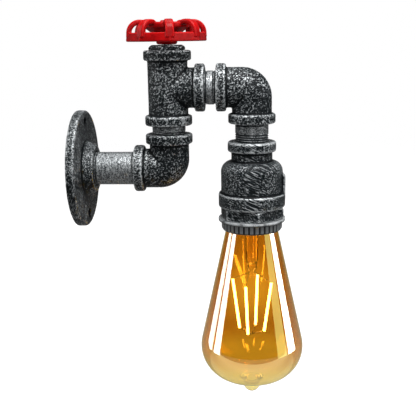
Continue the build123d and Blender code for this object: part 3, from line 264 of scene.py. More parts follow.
# ---------------------------------------------------------------- wall flange
# A round floor flange, cast in grey iron and threaded in the middle. It is sprayed gunmetal, then the
# high spots are rubbed with silver by an almost dry brush, which leaves the pits of the sand dark.
FLANGE_VOXEL = 0.56
CAST_WEAR = 2
SAND_GRAIN, SAND_DEPTH = 1.3, 0.13
SWELL_GRAIN, SWELL_DEPTH = 9.0, 0.05
EDGE_FLAT, EDGE_SHARP = 0.02, 0.06
CREASE_FLAT, CREASE_SHARP = 0.012, 0.04
MELT_STEPS = 40
PROUD_FROM, PROUD_TO = 0.12, 0.8
HOLE_D, HOLE_RISE = 7.6, 38.0
SPECK, PATCH = 0.46, 20.0
STREAK, STREAK_DRAWN = 0.72, 14.0
RUB_FROM, RUB_TO = 0.50, 0.70
EDGE_LIFT, PROUD_LIFT, CREASE_SHADE = 0.07, 0.06, 0.25
GUNMETAL_DARK = (0.001, 0.002, 0.0026, 1.0)
GUNMETAL = (0.0052, 0.009, 0.011, 1.0)
RUBBED_SILVER = (0.40, 0.42, 0.43, 1.0)


def settle(piece):
    """Puts the mesh that a piece's modifiers make in the place of its own."""
    depsgraph = bpy.context.evaluated_depsgraph_get()
    mesh = bpy.data.meshes.new_from_object(piece.evaluated_get(depsgraph))
    piece.modifiers.clear()
    piece.data = mesh


def points_of(mesh):
    co = np.empty(len(mesh.vertices) * 3, np.float32)
    mesh.vertices.foreach_get("co", co)
    return co.reshape(-1, 3).astype(float)


def normals_of(mesh):
    out = np.empty(len(mesh.vertices) * 3, np.float32)
    mesh.vertex_normals.foreach_get("vector", out)
    return out.reshape(-1, 3).astype(float)


def neighbour_mean(values, edges):
    """The mean over each point's neighbours along the mesh's edges."""
    near, far = np.concatenate([edges, edges[:, ::-1]]).T
    columns = values.reshape(len(values), -1).T
    total = np.stack([np.bincount(near, column[far], len(values)) for column in columns], -1)
    mean = total / np.maximum(np.bincount(near, minlength=len(values)), 1)[:, None]
    return mean.reshape(values.shape)


def carry(mesh, name, values):
    attribute = mesh.attributes.new(name, "FLOAT", "POINT")
    attribute.data.foreach_set("value", np.asarray(values, np.float32))


def smoothstep(value, low, high):
    share = np.clip((value - low) / (high - low), 0.0, 1.0)
    return share * share * (3.0 - 2.0 * share)


def lumps(co, grain_mm, octaves, shift):
    """Fractal noise at each point, about -1 to 1."""
    places = co / (grain_mm * MM) + shift
    return np.array([noise.fractal(p, 0.9, 2.0, octaves) for p in places])


def stand_in(node, name, body, mesh=None):
    """A new piece that takes a solid's place in the frame."""
    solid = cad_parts[node]
    piece = bpy.data.objects.new(name, mesh or solid.data.copy())
    scene.collection.objects.link(piece)
    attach(piece, body)
    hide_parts(node)
    return piece


def casting(node, finish, voxel, body="fixture", wear=CAST_WEAR, sand=SAND_DEPTH, grow=0.0):
    """A solid as it comes out of the mould: edges rounded off and the skin pitted by sand."""
    piece = stand_in(node, node + "_casting", body)
    even = piece.modifiers.new("even", "REMESH")
    even.mode, even.voxel_size, even.use_smooth_shade = "VOXEL", voxel * MM, True
    worn = piece.modifiers.new("worn", "SMOOTH")
    worn.factor, worn.iterations = 0.5, wear
    settle(piece)
    mesh = piece.data
    co, normals = points_of(mesh), normals_of(mesh)
    edges = np.empty(len(mesh.edges) * 2, np.int32)
    mesh.edges.foreach_get("vertices", edges)
    edges = edges.reshape(-1, 2)
    bulge = -((neighbour_mean(co, edges) - co) * normals).sum(1) / (voxel * MM)
    for _ in range(2):
        bulge = (bulge + neighbour_mean(bulge, edges)) / 2
    melted = co
    for _ in range(MELT_STEPS):
        melted = neighbour_mean(melted, edges)
    proud = ((co - melted) * normals).sum(1) / MM
    skin = lumps(co, SAND_GRAIN, 3, 7.3)
    body_wave = lumps(co, SWELL_GRAIN, 2, 31.7)
    depth = smoothstep(skin, 0.35, -0.35) * sand + smoothstep(body_wave, 0.6, -0.6) * SWELL_DEPTH
    co += normals * ((grow - depth) * MM)[:, None]
    # nothing may stand out past the solid's own box
    low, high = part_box(node)
    middle, reach = np.array(low + high) / 2, np.array(high - low) / 2
    co = middle + (co - middle) * np.minimum(reach / np.abs(co - middle).max(0), 1.0)
    mesh.vertices.foreach_set("co", co.astype(np.float32).ravel())
    mesh.update()
    carry(mesh, "skin", np.clip(0.5 + skin * 0.9, 0.0, 1.0))
    carry(mesh, "edge", smoothstep(bulge, EDGE_FLAT, EDGE_SHARP))
    carry(mesh, "crease", smoothstep(-bulge, CREASE_FLAT, CREASE_SHARP))
    carry(mesh, "proud", smoothstep(proud, PROUD_FROM, PROUD_TO))
    mesh.materials.clear()
    mesh.materials.append(finish)
    mesh.shade_smooth()
    return piece


def rubbed_iron(name, brushed=0.0, brush_turn=(0.0, 0.0, 0.0), silver=0.0, edge=1.0):
    """Gunmetal paint with silver rubbed on the sand's high spots, in streaks where the brush was dragged."""
    finish = Finish(name)
    skin, edges = finish.painted("skin"), finish.painted("edge")
    fine = finish.grain(SPECK, 2.0, roughness=0.55)
    patch = finish.between(finish.grain(PATCH, 2.0), 0.36, 0.64, -0.06 + 0.045 * brushed, 0.02)
    height = finish.calc("ADD", finish.calc("MULTIPLY", skin, 0.3), finish.calc("MULTIPLY", fine, 0.7))
    if brushed:
        streak = finish.grain(STREAK, 2.0, finish.stretched((1.0, 1.0, STREAK_DRAWN), brush_turn), 0.6)
        height = finish.calc("ADD", finish.calc("MULTIPLY", height, 1.0 - brushed),
                             finish.calc("MULTIPLY", streak, brushed))
    lifted = finish.calc("ADD", height, finish.calc("MULTIPLY", edges, EDGE_LIFT * edge))
    lifted = finish.calc("ADD", lifted, finish.calc("MULTIPLY", finish.painted("proud"), PROUD_LIFT * edge))
    lifted = finish.calc("ADD", lifted, patch)
    # creases lose silver and fall to the darker paint: partly where the dry brush misses, partly painted
    # shade
    lifted = finish.calc("SUBTRACT", lifted, finish.calc("MULTIPLY", finish.painted("crease"), CREASE_SHADE))
    rub = finish.between(lifted, RUB_FROM - silver, RUB_TO - silver)
    paint = finish.blend(finish.between(lifted, 0.42, 0.55), GUNMETAL_DARK, GUNMETAL)
    finish.set(Base_Color=finish.blend(rub, paint, RUBBED_SILVER))
    finish.set(Metallic=finish.between(rub, 0.0, 1.0, 0.0, 0.5))
    finish.set(Roughness=finish.between(rub, 0.0, 1.0, 0.42, 0.46))
    finish.set(Specular_IOR_Level=finish.between(rub, 0.0, 1.0, 0.10, 0.4))
    return finish.bump(height, 0.30, 0.8).material


sanded_iron = rubbed_iron("sanded_iron", silver=-0.015)
flange_iron = rubbed_iron("flange_iron", brushed=0.6, brush_turn=(0.5, 0.3, 0.2), silver=0.008, edge=0.4)
flange = casting("wall_flange", flange_iron, FLANGE_VOXEL, sand=0.08)

# the screw holes are kept dark: the brush never reached into them, and the dark is also painted shade
flange_low, flange_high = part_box("wall_flange")
flange_places = (points_of(flange.data) - np.array((flange_low + flange_high) / 2)) / MM
from_hole = np.hypot(flange_places[:, 1], np.abs(flange_places[:, 2]) - HOLE_RISE)
unbrushed_and_shade = np.empty(len(from_hole), np.float32)
flange.data.attributes["crease"].data.foreach_get("value", unbrushed_and_shade)
unbrushed_and_shade = np.maximum(unbrushed_and_shade, 3.0 * smoothstep(from_hole, HOLE_D / 2 + 0.9, HOLE_D / 2 + 0.2))
flange.data.attributes["crease"].data.foreach_set("value", unbrushed_and_shade.astype(np.float32))

# ---------------------------------------------------------------- earth point
# A tinned ring tag for the earth wire lies in a groove behind the flange, held by a brass screw. Both
# are out of sight once the flange is on the wall.
BRASS = (0.56, 0.36, 0.12, 1.0)
BRASS_DULL = (0.34, 0.21, 0.08, 1.0)
TINNED = (0.55, 0.53, 0.5, 1.0)
TINNED_DULL = (0.36, 0.35, 0.33, 1.0)


def dress(node, finish):
    """Gives a solid that keeps its own shape its finish."""
    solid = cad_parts[node]
    solid.data.materials.clear()
    solid.data.materials.append(finish)


def plain_metal(name, bright, dull, roughness=0.3):
    """Worked metal: slight stains, and tool marks too fine to see one by one."""
    finish = Finish(name)
    stain, marks = finish.grain(4.8, 3.0), finish.grain(0.48, 2.0)
    finish.set(Base_Color=finish.blend(finish.between(stain, 0.35, 0.7), bright, dull), Metallic=1.0)
    finish.set(Roughness=finish.between(marks, 0.3, 0.7, roughness - 0.08, roughness + 0.12))
    return finish.bump(marks, 0.03, 0.5).material


brass = plain_metal("brass", BRASS, BRASS_DULL)
tinned_brass = plain_metal("tinned_brass", TINNED, TINNED_DULL, 0.38)
dress("earth_tag", tinned_brass)
dress("earth_screw", brass)

# ---------------------------------------------------------------- pipe nipples
# Short lengths of steel pipe with a tapering thread cut at each end, screwed into the fittings with a
# few turns left showing. They are painted like the castings and rubbed with silver round their girth.
THREAD_PITCH = 1.814
THREAD_DEPTH = 0.72
THREAD_GRIP = 13.0
THREAD_RUNOUT = 1.1
PIPE_WALL, PIPE_CHAMFER = 2.95, 0.8
PIPE_STEP, PIPE_AROUND = 0.22, 120
PIPE_ROUGHNESS = 0.05
NIPPLES = {
    # node: the way it runs, and the thread turns that show at its low and its high end
    "wall_nipple": ("x", 0.5, 0.5),
    "riser_nipple": ("z", 0.7, 0.2),
    "arm_nipple": ("x", 0.9, 0.9),
    "drop_nipple": ("z", 3.2, 0.5),
}


def grid_mesh(name, grid, sharp_degrees=38.0):
    """A closed mesh from rows of points: each row is a ring, and the last row joins the first."""
    rows, around = grid.shape[:2]
    index = np.arange(rows * around).reshape(rows, around)
    down, on = np.roll(index, -1, 0), np.roll(index, -1, 1)
    faces = np.stack([index, on, np.roll(down, -1, 1), down], -1).reshape(-1, 4)
    mesh = bpy.data.meshes.new(name)
    mesh.from_pydata(grid.reshape(-1, 3).tolist(), [], faces.tolist())
    mesh.shade_smooth()
    mesh.set_sharp_from_angle(angle=math.radians(sharp_degrees))
    return mesh


def nipple(node, way, low_turns, high_turns, finish):
    """A length of pipe along x or z, with a thread wound round each end."""
    low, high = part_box(node)
    middle = (low + high) / 2
    length = (high.x - low.x if way == "x" else high.z - low.z) / MM
    radius = (high.y - low.y) / 2 / MM
    along = np.linspace(0.0, length, int(length / PIPE_STEP))
    turn = np.linspace(0.0, math.tau, PIPE_AROUND, endpoint=False)
    s, a = np.meshgrid(along, turn, indexing="ij")
    # one groove winds along the pipe; it is cut full near the ends and runs out where the pipe is plain
    phase = np.abs((s / THREAD_PITCH + a / math.tau) % 1.0 - 0.5) * 2
    groove = smoothstep(phase, 0.15, 0.85)
    low_end = THREAD_GRIP + low_turns * THREAD_PITCH
    high_end = length - THREAD_GRIP - high_turns * THREAD_PITCH
    cut = np.maximum(1 - smoothstep(s, low_end, low_end + THREAD_RUNOUT),
                     smoothstep(s, high_end - THREAD_RUNOUT, high_end))
    places = np.stack([s, np.cos(a) * radius, np.sin(a) * radius], -1) * MM
    flat_places = places.reshape(-1, 3) + np.array(middle)
    waver = lumps(flat_places, 3.2, 2, 3.1).reshape(s.shape)
    r = radius - groove * cut * THREAD_DEPTH - PIPE_ROUGHNESS * (1 + waver)
    from_end = np.minimum(s, length - s)
    r -= np.clip(PIPE_CHAMFER - from_end, 0.0, PIPE_CHAMFER)
    bore = np.full((1, PIPE_AROUND), radius - PIPE_WALL)
    r = np.concatenate([r, bore, bore])
    s = np.concatenate([s, np.full((1, PIPE_AROUND), length), np.zeros((1, PIPE_AROUND))])
    a = np.concatenate([a, a[:2]])
    if way == "x":
        grid = np.stack([low.x + s * MM, middle.y - r * np.sin(a) * MM, middle.z + r * np.cos(a) * MM], -1)
    else:
        grid = np.stack([middle.x + r * np.cos(a) * MM, middle.y + r * np.sin(a) * MM, low.z + s * MM], -1)
    mesh = grid_mesh(node + "_pipe", grid)
    carry(mesh, "crest", np.concatenate([(1 - groove * cut).ravel(), np.zeros(2 * PIPE_AROUND)]))
    mesh.materials.append(finish)
    return stand_in(node, node + "_pipe", "fixture", mesh)


def rubbed_pipe(name, way):
    """Gunmetal paint rubbed with silver round the pipe, in streaks that run round its girth."""
    finish = Finish(name)
    crest = finish.painted("crest")
    draw = (1.0, 5.0, 5.0) if way == "x" else (5.0, 5.0, 1.0)
    streak = finish.grain(0.75, 4.0, finish.stretched(draw), 0.7)
    speck = finish.grain(0.9, 3.0, roughness=0.65)
    lifted = finish.calc("ADD", finish.calc("MULTIPLY", streak, 0.5), finish.calc("MULTIPLY", speck, 0.5))
    # the thread's grooves keep less silver: the brush misses them, and the dark there is also painted shade
    lifted = finish.calc("SUBTRACT", lifted, finish.between(crest, 0.25, 0.95, 0.3, 0.0))
    rub = finish.between(lifted, 0.42, 0.62)
    finish.set(Base_Color=finish.blend(rub, GUNMETAL, RUBBED_SILVER))
    finish.set(Metallic=finish.between(rub, 0.0, 1.0, 0.3, 0.85))
    finish.set(Roughness=finish.between(lifted, 0.3, 0.7, 0.50, 0.38))
    return finish.bump(lifted, 0.12, 0.6).material


pipe_finish = {way: rubbed_pipe("rubbed_pipe_along_" + way, way) for way in "xz"}
for nipple_node, (run, low_shows, high_shows) in NIPPLES.items():
    nipple(nipple_node, run, low_shows, high_shows, pipe_finish[run])

# ---------------------------------------------------------------- elbows and tee
# Malleable iron fittings with a rolled collar round each mouth. They come from the same kind of mould
# as the flange, with a coarser skin, and carry the same paint and silver.
FITTING_VOXEL = 0.55
for fitting in ("lower_elbow", "pipe_tee", "upper_elbow"):
    casting(fitting, sanded_iron, FITTING_VOXEL)

# ---------------------------------------------------------------- bonnet, packing and stem
# A hexagon-headed bushing closes the tee's top. A graphite packing ring and a brass gland seal the
# plated steel stem, which turns in it without end.
BONNET_VOXEL = 0.4
STEEL, STEEL_DULL = (0.52, 0.52, 0.53, 1.0), (0.36, 0.36, 0.37, 1.0)
GRAPHITE = (0.02, 0.02, 0.021, 1.0)
GRAPHITE_WORN = (0.05, 0.05, 0.052, 1.0)


def matt_moulding(name, colour, worn, roughness, grain_mm=0.8, coat=0.0):
    """A moulded or pressed skin: even, a little lighter where it has been handled."""
    finish = Finish(name)
    cloud, fine = finish.grain(grain_mm * 12, 2.0), finish.grain(grain_mm, 3.0)
    finish.set(Base_Color=finish.blend(finish.between(cloud, 0.4, 0.75), colour, worn))
    finish.set(Roughness=finish.between(fine, 0.3, 0.7, roughness - 0.06, roughness + 0.08))
    finish.set(Coat_Weight=coat, Coat_Roughness=0.12)
    return finish.bump(fine, 0.03, 0.5).material


casting("bonnet", rubbed_iron("bonnet_iron", silver=-0.045, edge=1.2), BONNET_VOXEL, sand=0.10)
steel = plain_metal("plated_steel", STEEL, STEEL_DULL, 0.28)
dress("stem_packing", matt_moulding("graphite", GRAPHITE, GRAPHITE_WORN, 0.7))
dress("gland_bush", brass)
dress("valve_stem", steel)

# ---------------------------------------------------------------- handwheel
# An eight-sided iron wheel with arched spokes, cast in one and dipped in glossy red enamel, which lies
# thick in the corners and thin over the edges. A washer and a nut hold it on the stem's square.
WHEEL_VOXEL = 0.42
WHEEL_WEAR = 8
WHEEL_GROW = 0.45
RED = (0.31, 0.0025, 0.0032, 1.0)
RED_DEEP = (0.20, 0.0015, 0.002, 1.0)


def red_enamel():
    finish = Finish("red_enamel")
    pool, ripple = finish.grain(7.0, 2.0), finish.grain(3.2, 1.0)
    thin = finish.calc("MAXIMUM", finish.between(pool, 0.4, 0.7), finish.painted("edge"))
    finish.set(Base_Color=finish.blend(thin, RED_DEEP, RED))
    finish.set(Roughness=finish.between(ripple, 0.3, 0.7, 0.28, 0.38))
    finish.set(Coat_Weight=0.03, Coat_Roughness=0.14, Specular_IOR_Level=0.06)
    return finish.bump(ripple, 0.06, 0.5).material


casting("handwheel", red_enamel(), WHEEL_VOXEL, "handwheel",
        wear=WHEEL_WEAR, sand=0.0, grow=WHEEL_GROW)
dress("wheel_washer", steel)
dress("wheel_nut", steel)

# ---------------------------------------------------------------- reducing socket
# A reducing socket joins the small pipe to the wide bushing: collar, neck, bell and a wide band at its
# foot, with one cast rib for the wrench. It was brushed on the slant, so its silver lies in streaks.
REDUCER_VOXEL = 0.56
slanted_iron = rubbed_iron("slanted_iron", brushed=0.9, brush_turn=(0.0, -1.15, 0.0), silver=-0.015, edge=1.2)
casting("reducer_socket", slanted_iron, REDUCER_VOXEL, sand=0.09)

# ---------------------------------------------------------------- hexagon bushing
# A hexagon bushing of the same cast iron, screwed up into the socket's foot and brushed along with it.
# The lampholder hangs in it by its collar.
BUSHING_VOXEL = 0.46
casting("hexagon_bushing", slanted_iron, BUSHING_VOXEL, sand=0.07)

# ---------------------------------------------------------------- lampholder
# A white porcelain body in the bushing holds the rolled screw shell and the sprung centre contact.
# Two pillar terminals and a black moulded cover sit on top of it, out of sight in the socket.
PORCELAIN, PORCELAIN_SHADE = (0.78, 0.76, 0.72, 1.0), (0.66, 0.63, 0.58, 1.0)
BLACK, BLACK_WORN = (0.012, 0.012, 0.013, 1.0), (0.028, 0.028, 0.03, 1.0)
dress("holder_body", matt_moulding("porcelain", PORCELAIN, PORCELAIN_SHADE, 0.3, coat=0.6))
dress("screw_shell", tinned_brass)
for brass_piece in ("centre_contact", "live_terminal", "neutral_terminal"):
    dress(brass_piece, brass)
for steel_piece in ("terminal_screws", "cover_screws"):
    dress(steel_piece, steel)
black_moulding = matt_moulding("black_moulding", BLACK, BLACK_WORN, 0.42)
dress("holder_cover", black_moulding)

# ---------------------------------------------------------------- wires
# Two insulated wires run from the flange's mouth through every fitting to the terminals, the live one
# brown and the neutral one blue.
BROWN, BROWN_LIGHT = (0.11, 0.038, 0.014, 1.0), (0.16, 0.06, 0.025, 1.0)
BLUE, BLUE_LIGHT = (0.012, 0.075, 0.30, 1.0), (0.02, 0.12, 0.42, 1.0)
dress("live_wire", matt_moulding("brown_sleeve", BROWN, BROWN_LIGHT, 0.4, 1.2))
dress("neutral_wire", matt_moulding("blue_sleeve", BLUE, BLUE_LIGHT, 0.4, 1.2))

# ---------------------------------------------------------------- shade ring
# A black moulded ring nut on the holder's skirt: a wide thin disc that meets the hexagon, and below it
# a grip with rounded ribs, which clamps a shade where one is fitted.
RING_RIBS = 36
RING_AROUND_PER_RIB = 12
RING_RIB_STANDS = 0.8
RING_DISC_THICK = 2.4
RING_SKIRT_OUTER, RING_SKIRT_INNER = 24.2, 22.6
RING_THREAD = 18.38
RING_THREAD_HEIGHT = 3.5
RING_EDGE = 0.5
RING_BLACK = (0.0055, 0.006, 0.0065, 1.0)


def ring_nut():
    """The nut as one outline carried round, with the ribs standing out on its grip."""
    low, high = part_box("shade_ring")
    middle, disc = (low + high) / 2, (high.x - low.x) / 2 / MM
    height, e = (high.z - low.z) / MM, RING_EDGE
    grip, bore = RING_SKIRT_OUTER, RING_SKIRT_INNER
    shelf, thread_foot = height - RING_DISC_THICK, height - RING_THREAD_HEIGHT
    # radius, height above the bottom, and how much of the ribs' relief each ring of points takes
    outline = [(bore, 0.0, 0), (grip - e, 0.0, 0), (grip - e * 0.3, e * 0.3, 0), (grip, e, 0),
               (grip, 0.9, 0.25), (grip, 1.3, 0.8), (grip, 1.8, 1), (grip, 3.0, 1), (grip, 4.5, 1),
               (grip, 6.0, 1), (grip, shelf - 0.5, 1), (grip, shelf, 0.9), (grip + 1.2, shelf, 0),
               (disc - e, shelf, 0), (disc - e * 0.3, shelf + e * 0.3, 0), (disc, shelf + e, 0),
               (disc, height - e, 0), (disc - e * 0.3, height - e * 0.3, 0), (disc - e, height, 0),
               (RING_THREAD, height, 0), (RING_THREAD, thread_foot, 0), (bore, thread_foot, 0)]
    turn = np.linspace(0.0, math.tau, RING_RIBS * RING_AROUND_PER_RIB, endpoint=False)
    rib = smoothstep(np.cos(turn * RING_RIBS), -0.55, 0.55) * RING_RIB_STANDS
    rows, rib_highlight = [], []
    for radius, z, share in outline:
        r = (radius + rib * share) * MM
        rows.append(np.stack([middle.x + r * np.cos(turn), middle.y + r * np.sin(turn),
                              np.full_like(turn, low.z + z * MM)], -1))
        # the flanks of the ribs are marked for a painted highlight, lighter lines down each rib
        rib_highlight.append(4 * rib * (1 - rib) * share)
    mesh = grid_mesh("ring_nut", np.array(rows), 50.0)
    carry(mesh, "edge", np.concatenate(rib_highlight))
    return mesh


def ring_black():
    """Satin black, with a little of the fittings' silver caught on its upper edge and painted highlights on
    its ribs.
    """
    finish = Finish("ring_black")
    fine, cloud = finish.grain(0.6, 3.0), finish.grain(6.0, 3.0)
    height = finish.node("ShaderNodeSeparateXYZ", {0: finish.place}).outputs["Z"]
    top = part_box("shade_ring")[1].z
    upper = finish.between(height, top - 2.2 * MM, top - 0.9 * MM)
    silver_and_highlight = finish.calc("MULTIPLY", upper, finish.between(finish.calc("ADD", fine, cloud), 0.75, 1.1))
    # lighter lines down the ribs' flanks are a painted highlight
    silver_and_highlight = finish.calc("MAXIMUM", silver_and_highlight, finish.calc("MULTIPLY", finish.painted("edge"), 0.7))
    finish.set(Base_Color=finish.blend(finish.calc("MULTIPLY", silver_and_highlight, 0.7), RING_BLACK, RUBBED_SILVER))
    finish.set(Roughness=finish.between(fine, 0.3, 0.7, 0.26, 0.36), Specular_IOR_Level=0.4)
    return finish.bump(fine, 0.04, 0.5).material


ring_mesh = ring_nut()
ring_mesh.materials.append(ring_black())
stand_in("shade_ring", "shade_ring_nut", "shade_ring", ring_mesh)

# ---------------------------------------------------------------- lamp cap
# The lamp's cap is rolled from bright sheet and cemented on the glass. Black glass insulates the
# solder tip in its end.
CAP, CAP_DULL = (0.68, 0.68, 0.67, 1.0), (0.5, 0.5, 0.49, 1.0)
SOLDER, SOLDER_DULL = (0.46, 0.46, 0.45, 1.0), (0.3, 0.3, 0.3, 1.0)
dress("bulb_cap", plain_metal("bright_sheet", CAP, CAP_DULL, 0.22))
dress("cap_insulator", matt_moulding("insulating_glass", BLACK, BLACK_WORN, 0.18, coat=0.8))
dress("tip_contact", plain_metal("solder", SOLDER, SOLDER_DULL, 0.45))

# ---------------------------------------------------------------- lamp glass
# A pear-shaped envelope blown thin in clear glass with a fired amber skin, sealed on the stem at the
# neck and drawn off at the bottom, where a small pip is left.
GLASS_WALL, NEAR_AXIS = 0.9, 0.02
GLASS_FOOT_OD, GLASS_FOOT = 23.8, 5.0
NECK_OD, NECK_CONE, NECK_STRAIGHT = 28.0, 2.5, 1.0
FLARE_HEIGHT, FLARE_STANDS = 9.6, 7.5
FLANK_LEAN = 12.5
GLASS_CORNER, GLASS_BOTTOM = 29.0, 75.0
PIP_D, PIP_WAIST_D, PIP_TIP_D = 21.0, 16.2, 14.2
PIP_FLARE, PIP_FLARE_SAG, PIP_LENGTH = 4.2, 0.5, 13.0
GLASS_AROUND = 192
AMBER = (0.57, 0.31, 0.05, 1.0)
AMBER_DEEP = (0.30, 0.19, 0.05, 1.0)
# the paler amber at the glass's foot is a painted reflection of the floor below
AMBER_FLOOR_REFLECTION = (0.74, 0.61, 0.21, 1.0)
FLOOR_REFLECTION_FROM, FLOOR_REFLECTION_TO = -152.0, -172.0
REFLECTED = (1.0, 0.86, 0.42, 1.0)
AMBER_SHADOW = (0.28, 0.19, 0.06, 1.0)
# HALO is a painted glow: orange light that the glass's outline gives off round HALO_Z
HALO, HALO_STRENGTH = (1.0, 0.56, 0.04, 1.0), 0.17
HALO_Z, HALO_REACH = -95.0, 32.0
GLASS_WAVE = 24.0

glass_low, glass_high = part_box("bulb_glass")
lamp_axis = (glass_low + glass_high) / 2
glass_radius = (glass_high.x - glass_low.x) / 2 / MM
foot_top = glass_high.z / MM
foot_bottom = foot_top - GLASS_FOOT


def arc(centre, radius, start, end, steps):
    """Points of (radius from the axis, height) on an arc, angles from straight out and turning down."""
    angles = np.linspace(start, end, steps)
    return [(centre[0] + radius * math.cos(a), centre[1] - radius * math.sin(a)) for a in angles]


def envelope_side(inset, pip):
    """Half outline of the glass from its foot to the axis, moved in by inset, with or without the pip."""
    lean = math.radians(FLANK_LEAN)
    foot, neck = GLASS_FOOT_OD / 2 - inset, NECK_OD / 2 - inset
    neck_z = foot_bottom - NECK_CONE - NECK_STRAIGHT
    # two arcs swing the outline out of the neck and back to the flank; they meet where it leans most
    ratio = FLARE_STANDS / FLARE_HEIGHT
    most = math.atan2(ratio, 1) + math.acos((1 + math.cos(lean) + ratio * math.sin(lean))
                                            / (2 * math.sqrt(1 + ratio ** 2)))
    flare = FLARE_HEIGHT / (2 * math.sin(most) - math.sin(lean))
    outward, inward = flare + inset, flare - inset
    side = [(foot, foot_top), (foot, foot_bottom), (neck, foot_bottom - NECK_CONE)]
    side += [(neck + outward * (1 - math.cos(a)), neck_z - outward * math.sin(a))
             for a in np.linspace(0, most, 12)]
    knee_r, knee_z = side[-1]
    side += [(knee_r + inward * (math.cos(a) - math.cos(most)),
              knee_z - inward * (math.sin(most) - math.sin(a))) for a in np.linspace(most, lean, 12)[1:]]
    flank_start = side[-1]
    corner_r = glass_radius - GLASS_CORNER
    flank_run = (corner_r + GLASS_CORNER * math.cos(lean) - NECK_OD / 2 - FLARE_STANDS) / math.tan(lean)
    corner_z = neck_z - FLARE_HEIGHT - flank_run - GLASS_CORNER * math.sin(lean)
    swing = math.acos(corner_r / (GLASS_BOTTOM - GLASS_CORNER))
    corner = arc((corner_r, corner_z), GLASS_CORNER - inset, -lean, swing, 34)
    for i in range(1, 24):
        share = i / 24
        side.append((flank_start[0] + (corner[0][0] - flank_start[0]) * share,
                     flank_start[1] + (corner[0][1] - flank_start[1]) * share))
    side += corner
    bottom_z = corner_z + math.sqrt((GLASS_BOTTOM - GLASS_CORNER) ** 2 - corner_r ** 2)
    bottom = GLASS_BOTTOM - inset
    root = PIP_D / 2 if pip else NEAR_AXIS
    side += [(r, bottom_z - math.sqrt(bottom ** 2 - r ** 2))
             for r in np.linspace(corner[-1][0], root, 18)[1:]]
    if not pip:
        return side
    root_z = side[-1][1]
    waist, tip = PIP_WAIST_D / 2, PIP_TIP_D / 2
    end = root_z - PIP_LENGTH
    for share in np.linspace(0, 1, 9)[1:]:
        swell = math.sin(share * math.pi) * PIP_FLARE_SAG
        side.append((root + (waist - root) * share ** 0.75 - swell, root_z - PIP_FLARE * share + swell))
    ball_z = end + tip
    side += [(tip + (waist - tip) * s, ball_z + (side[-1][1] - ball_z) * s) for s in (0.66, 0.33)]
    side += [(tip * math.cos(a), ball_z - tip * math.sin(a)) for a in np.linspace(0, math.pi / 2, 12)[:-1]]
    side.append((NEAR_AXIS, end))
    return side


def turned_glass(name, outline, outer_rows, around=GLASS_AROUND):
    """A closed glass form turned about the lamp's axis. The first rows of its outline are the outer skin."""
    turn = np.linspace(0.0, math.tau, around, endpoint=False)
    outline = np.array(outline[::-1])
    r, z = outline[:, :1] * MM, outline[:, 1:] * MM
    grid = np.stack([lamp_axis.x + r * np.cos(turn), lamp_axis.y + r * np.sin(turn),
                     np.repeat(z, around, 1)], -1)
    mesh = grid_mesh(name, grid, 60.0)
    is_outer = np.arange(len(outline)) >= len(outline) - outer_rows
    carry(mesh, "outer", np.repeat(is_outer, around).astype(float))
    return mesh


def coloured_glass(name, middle, edge, floor_reflection, shadow, coat=1.0, halo=0.0):
    """Thin glass that darkens towards its outline and lets lamplight through."""
    finish = Finish(name)
    wave = finish.grain(GLASS_WAVE, 1.0)
    rim = finish.node("ShaderNodeLayerWeight", {"Blend": 0.36}).outputs["Facing"]
    height = finish.node("ShaderNodeSeparateXYZ", {0: finish.place}).outputs["Z"]
    # towards its bottom the glass turns paler: a painted reflection of the floor
    foot = finish.between(height, FLOOR_REFLECTION_TO * MM, FLOOR_REFLECTION_FROM * MM, 1.0, 0.0)
    tint = finish.blend(finish.between(rim, 0.35, 0.95), finish.blend(foot, middle, floor_reflection), edge)
    finish.set(Base_Color=tint, Transmission_Weight=1.0, Roughness=0.0, IOR=1.46, Specular_Tint=REFLECTED)
    inside = finish.node("ShaderNodeNewGeometry").outputs["Backfacing"]
    skin = finish.calc("MULTIPLY", finish.painted("outer"), finish.calc("SUBTRACT", 1.0, inside))
    side = finish.node("ShaderNodeLayerWeight", {"Blend": 0.5}).outputs["Facing"]
    skin = finish.calc("MULTIPLY", skin, finish.between(side, 0.50, 0.80, coat, coat * 0.06))
    finish.set(Coat_Weight=skin, Coat_IOR=1.9, Coat_Roughness=0.0)
    # a painted glow: the glass's outline gives off orange light in a band round HALO_Z
    off = finish.calc("ABSOLUTE", finish.calc("SUBTRACT", height, HALO_Z * MM))
    painted_glow = finish.calc("MULTIPLY", finish.between(off, 0.0, HALO_REACH * MM, halo, 0.0),
                       finish.between(side, 0.0, 0.30, 1.0, 0.0))
    finish.set(Emission_Color=HALO, Emission_Strength=painted_glow)
    finish.bump(wave, 0.12, 0.35)
    clear = finish.node("ShaderNodeBsdfTransparent", {"Color": shadow})
    passing = finish.node("ShaderNodeLightPath").outputs["Is Shadow Ray"]
    both = finish.node("ShaderNodeMixShader", {0: passing, 1: finish.shader.outputs[0], 2: clear.outputs[0]})
    finish.tree.links.new(both.outputs[0], finish.tree.nodes["Material Output"].inputs["Surface"])
    return finish.material


outer_side, inner_side = envelope_side(0.0, True), envelope_side(GLASS_WALL, False)
envelope_mesh = turned_glass("envelope", outer_side + inner_side[::-1], len(outer_side))
envelope_mesh.materials.append(coloured_glass("amber_glass", AMBER, AMBER_DEEP, AMBER_FLOOR_REFLECTION, AMBER_SHADOW,
                                               halo=HALO_STRENGTH))
envelope = stand_in("bulb_glass", "lamp_envelope", "lamp", envelope_mesh)

# ---------------------------------------------------------------- lamp stem
# Inside the neck a flared glass tube is closed to a press, with a rod below it. The leads come out of
# the press.
STEM_WALL = 1.0
STEM_FLARE_OD, STEM_FLARE_HEIGHT = 21.9, 10.0
STEM_TUBE_OD = 10.6
STEM_ROD_D = 4.0
PRESS_HALF, PRESS_ABOVE_ROD_END = 4.0, 7.0
STEM_AROUND = 96
STEM_TINT, STEM_TINT_EDGE = (1.0, 0.94, 0.86, 1.0), (0.95, 0.74, 0.55, 1.0)
STEM_SHADOW = (0.97, 0.95, 0.9, 1.0)


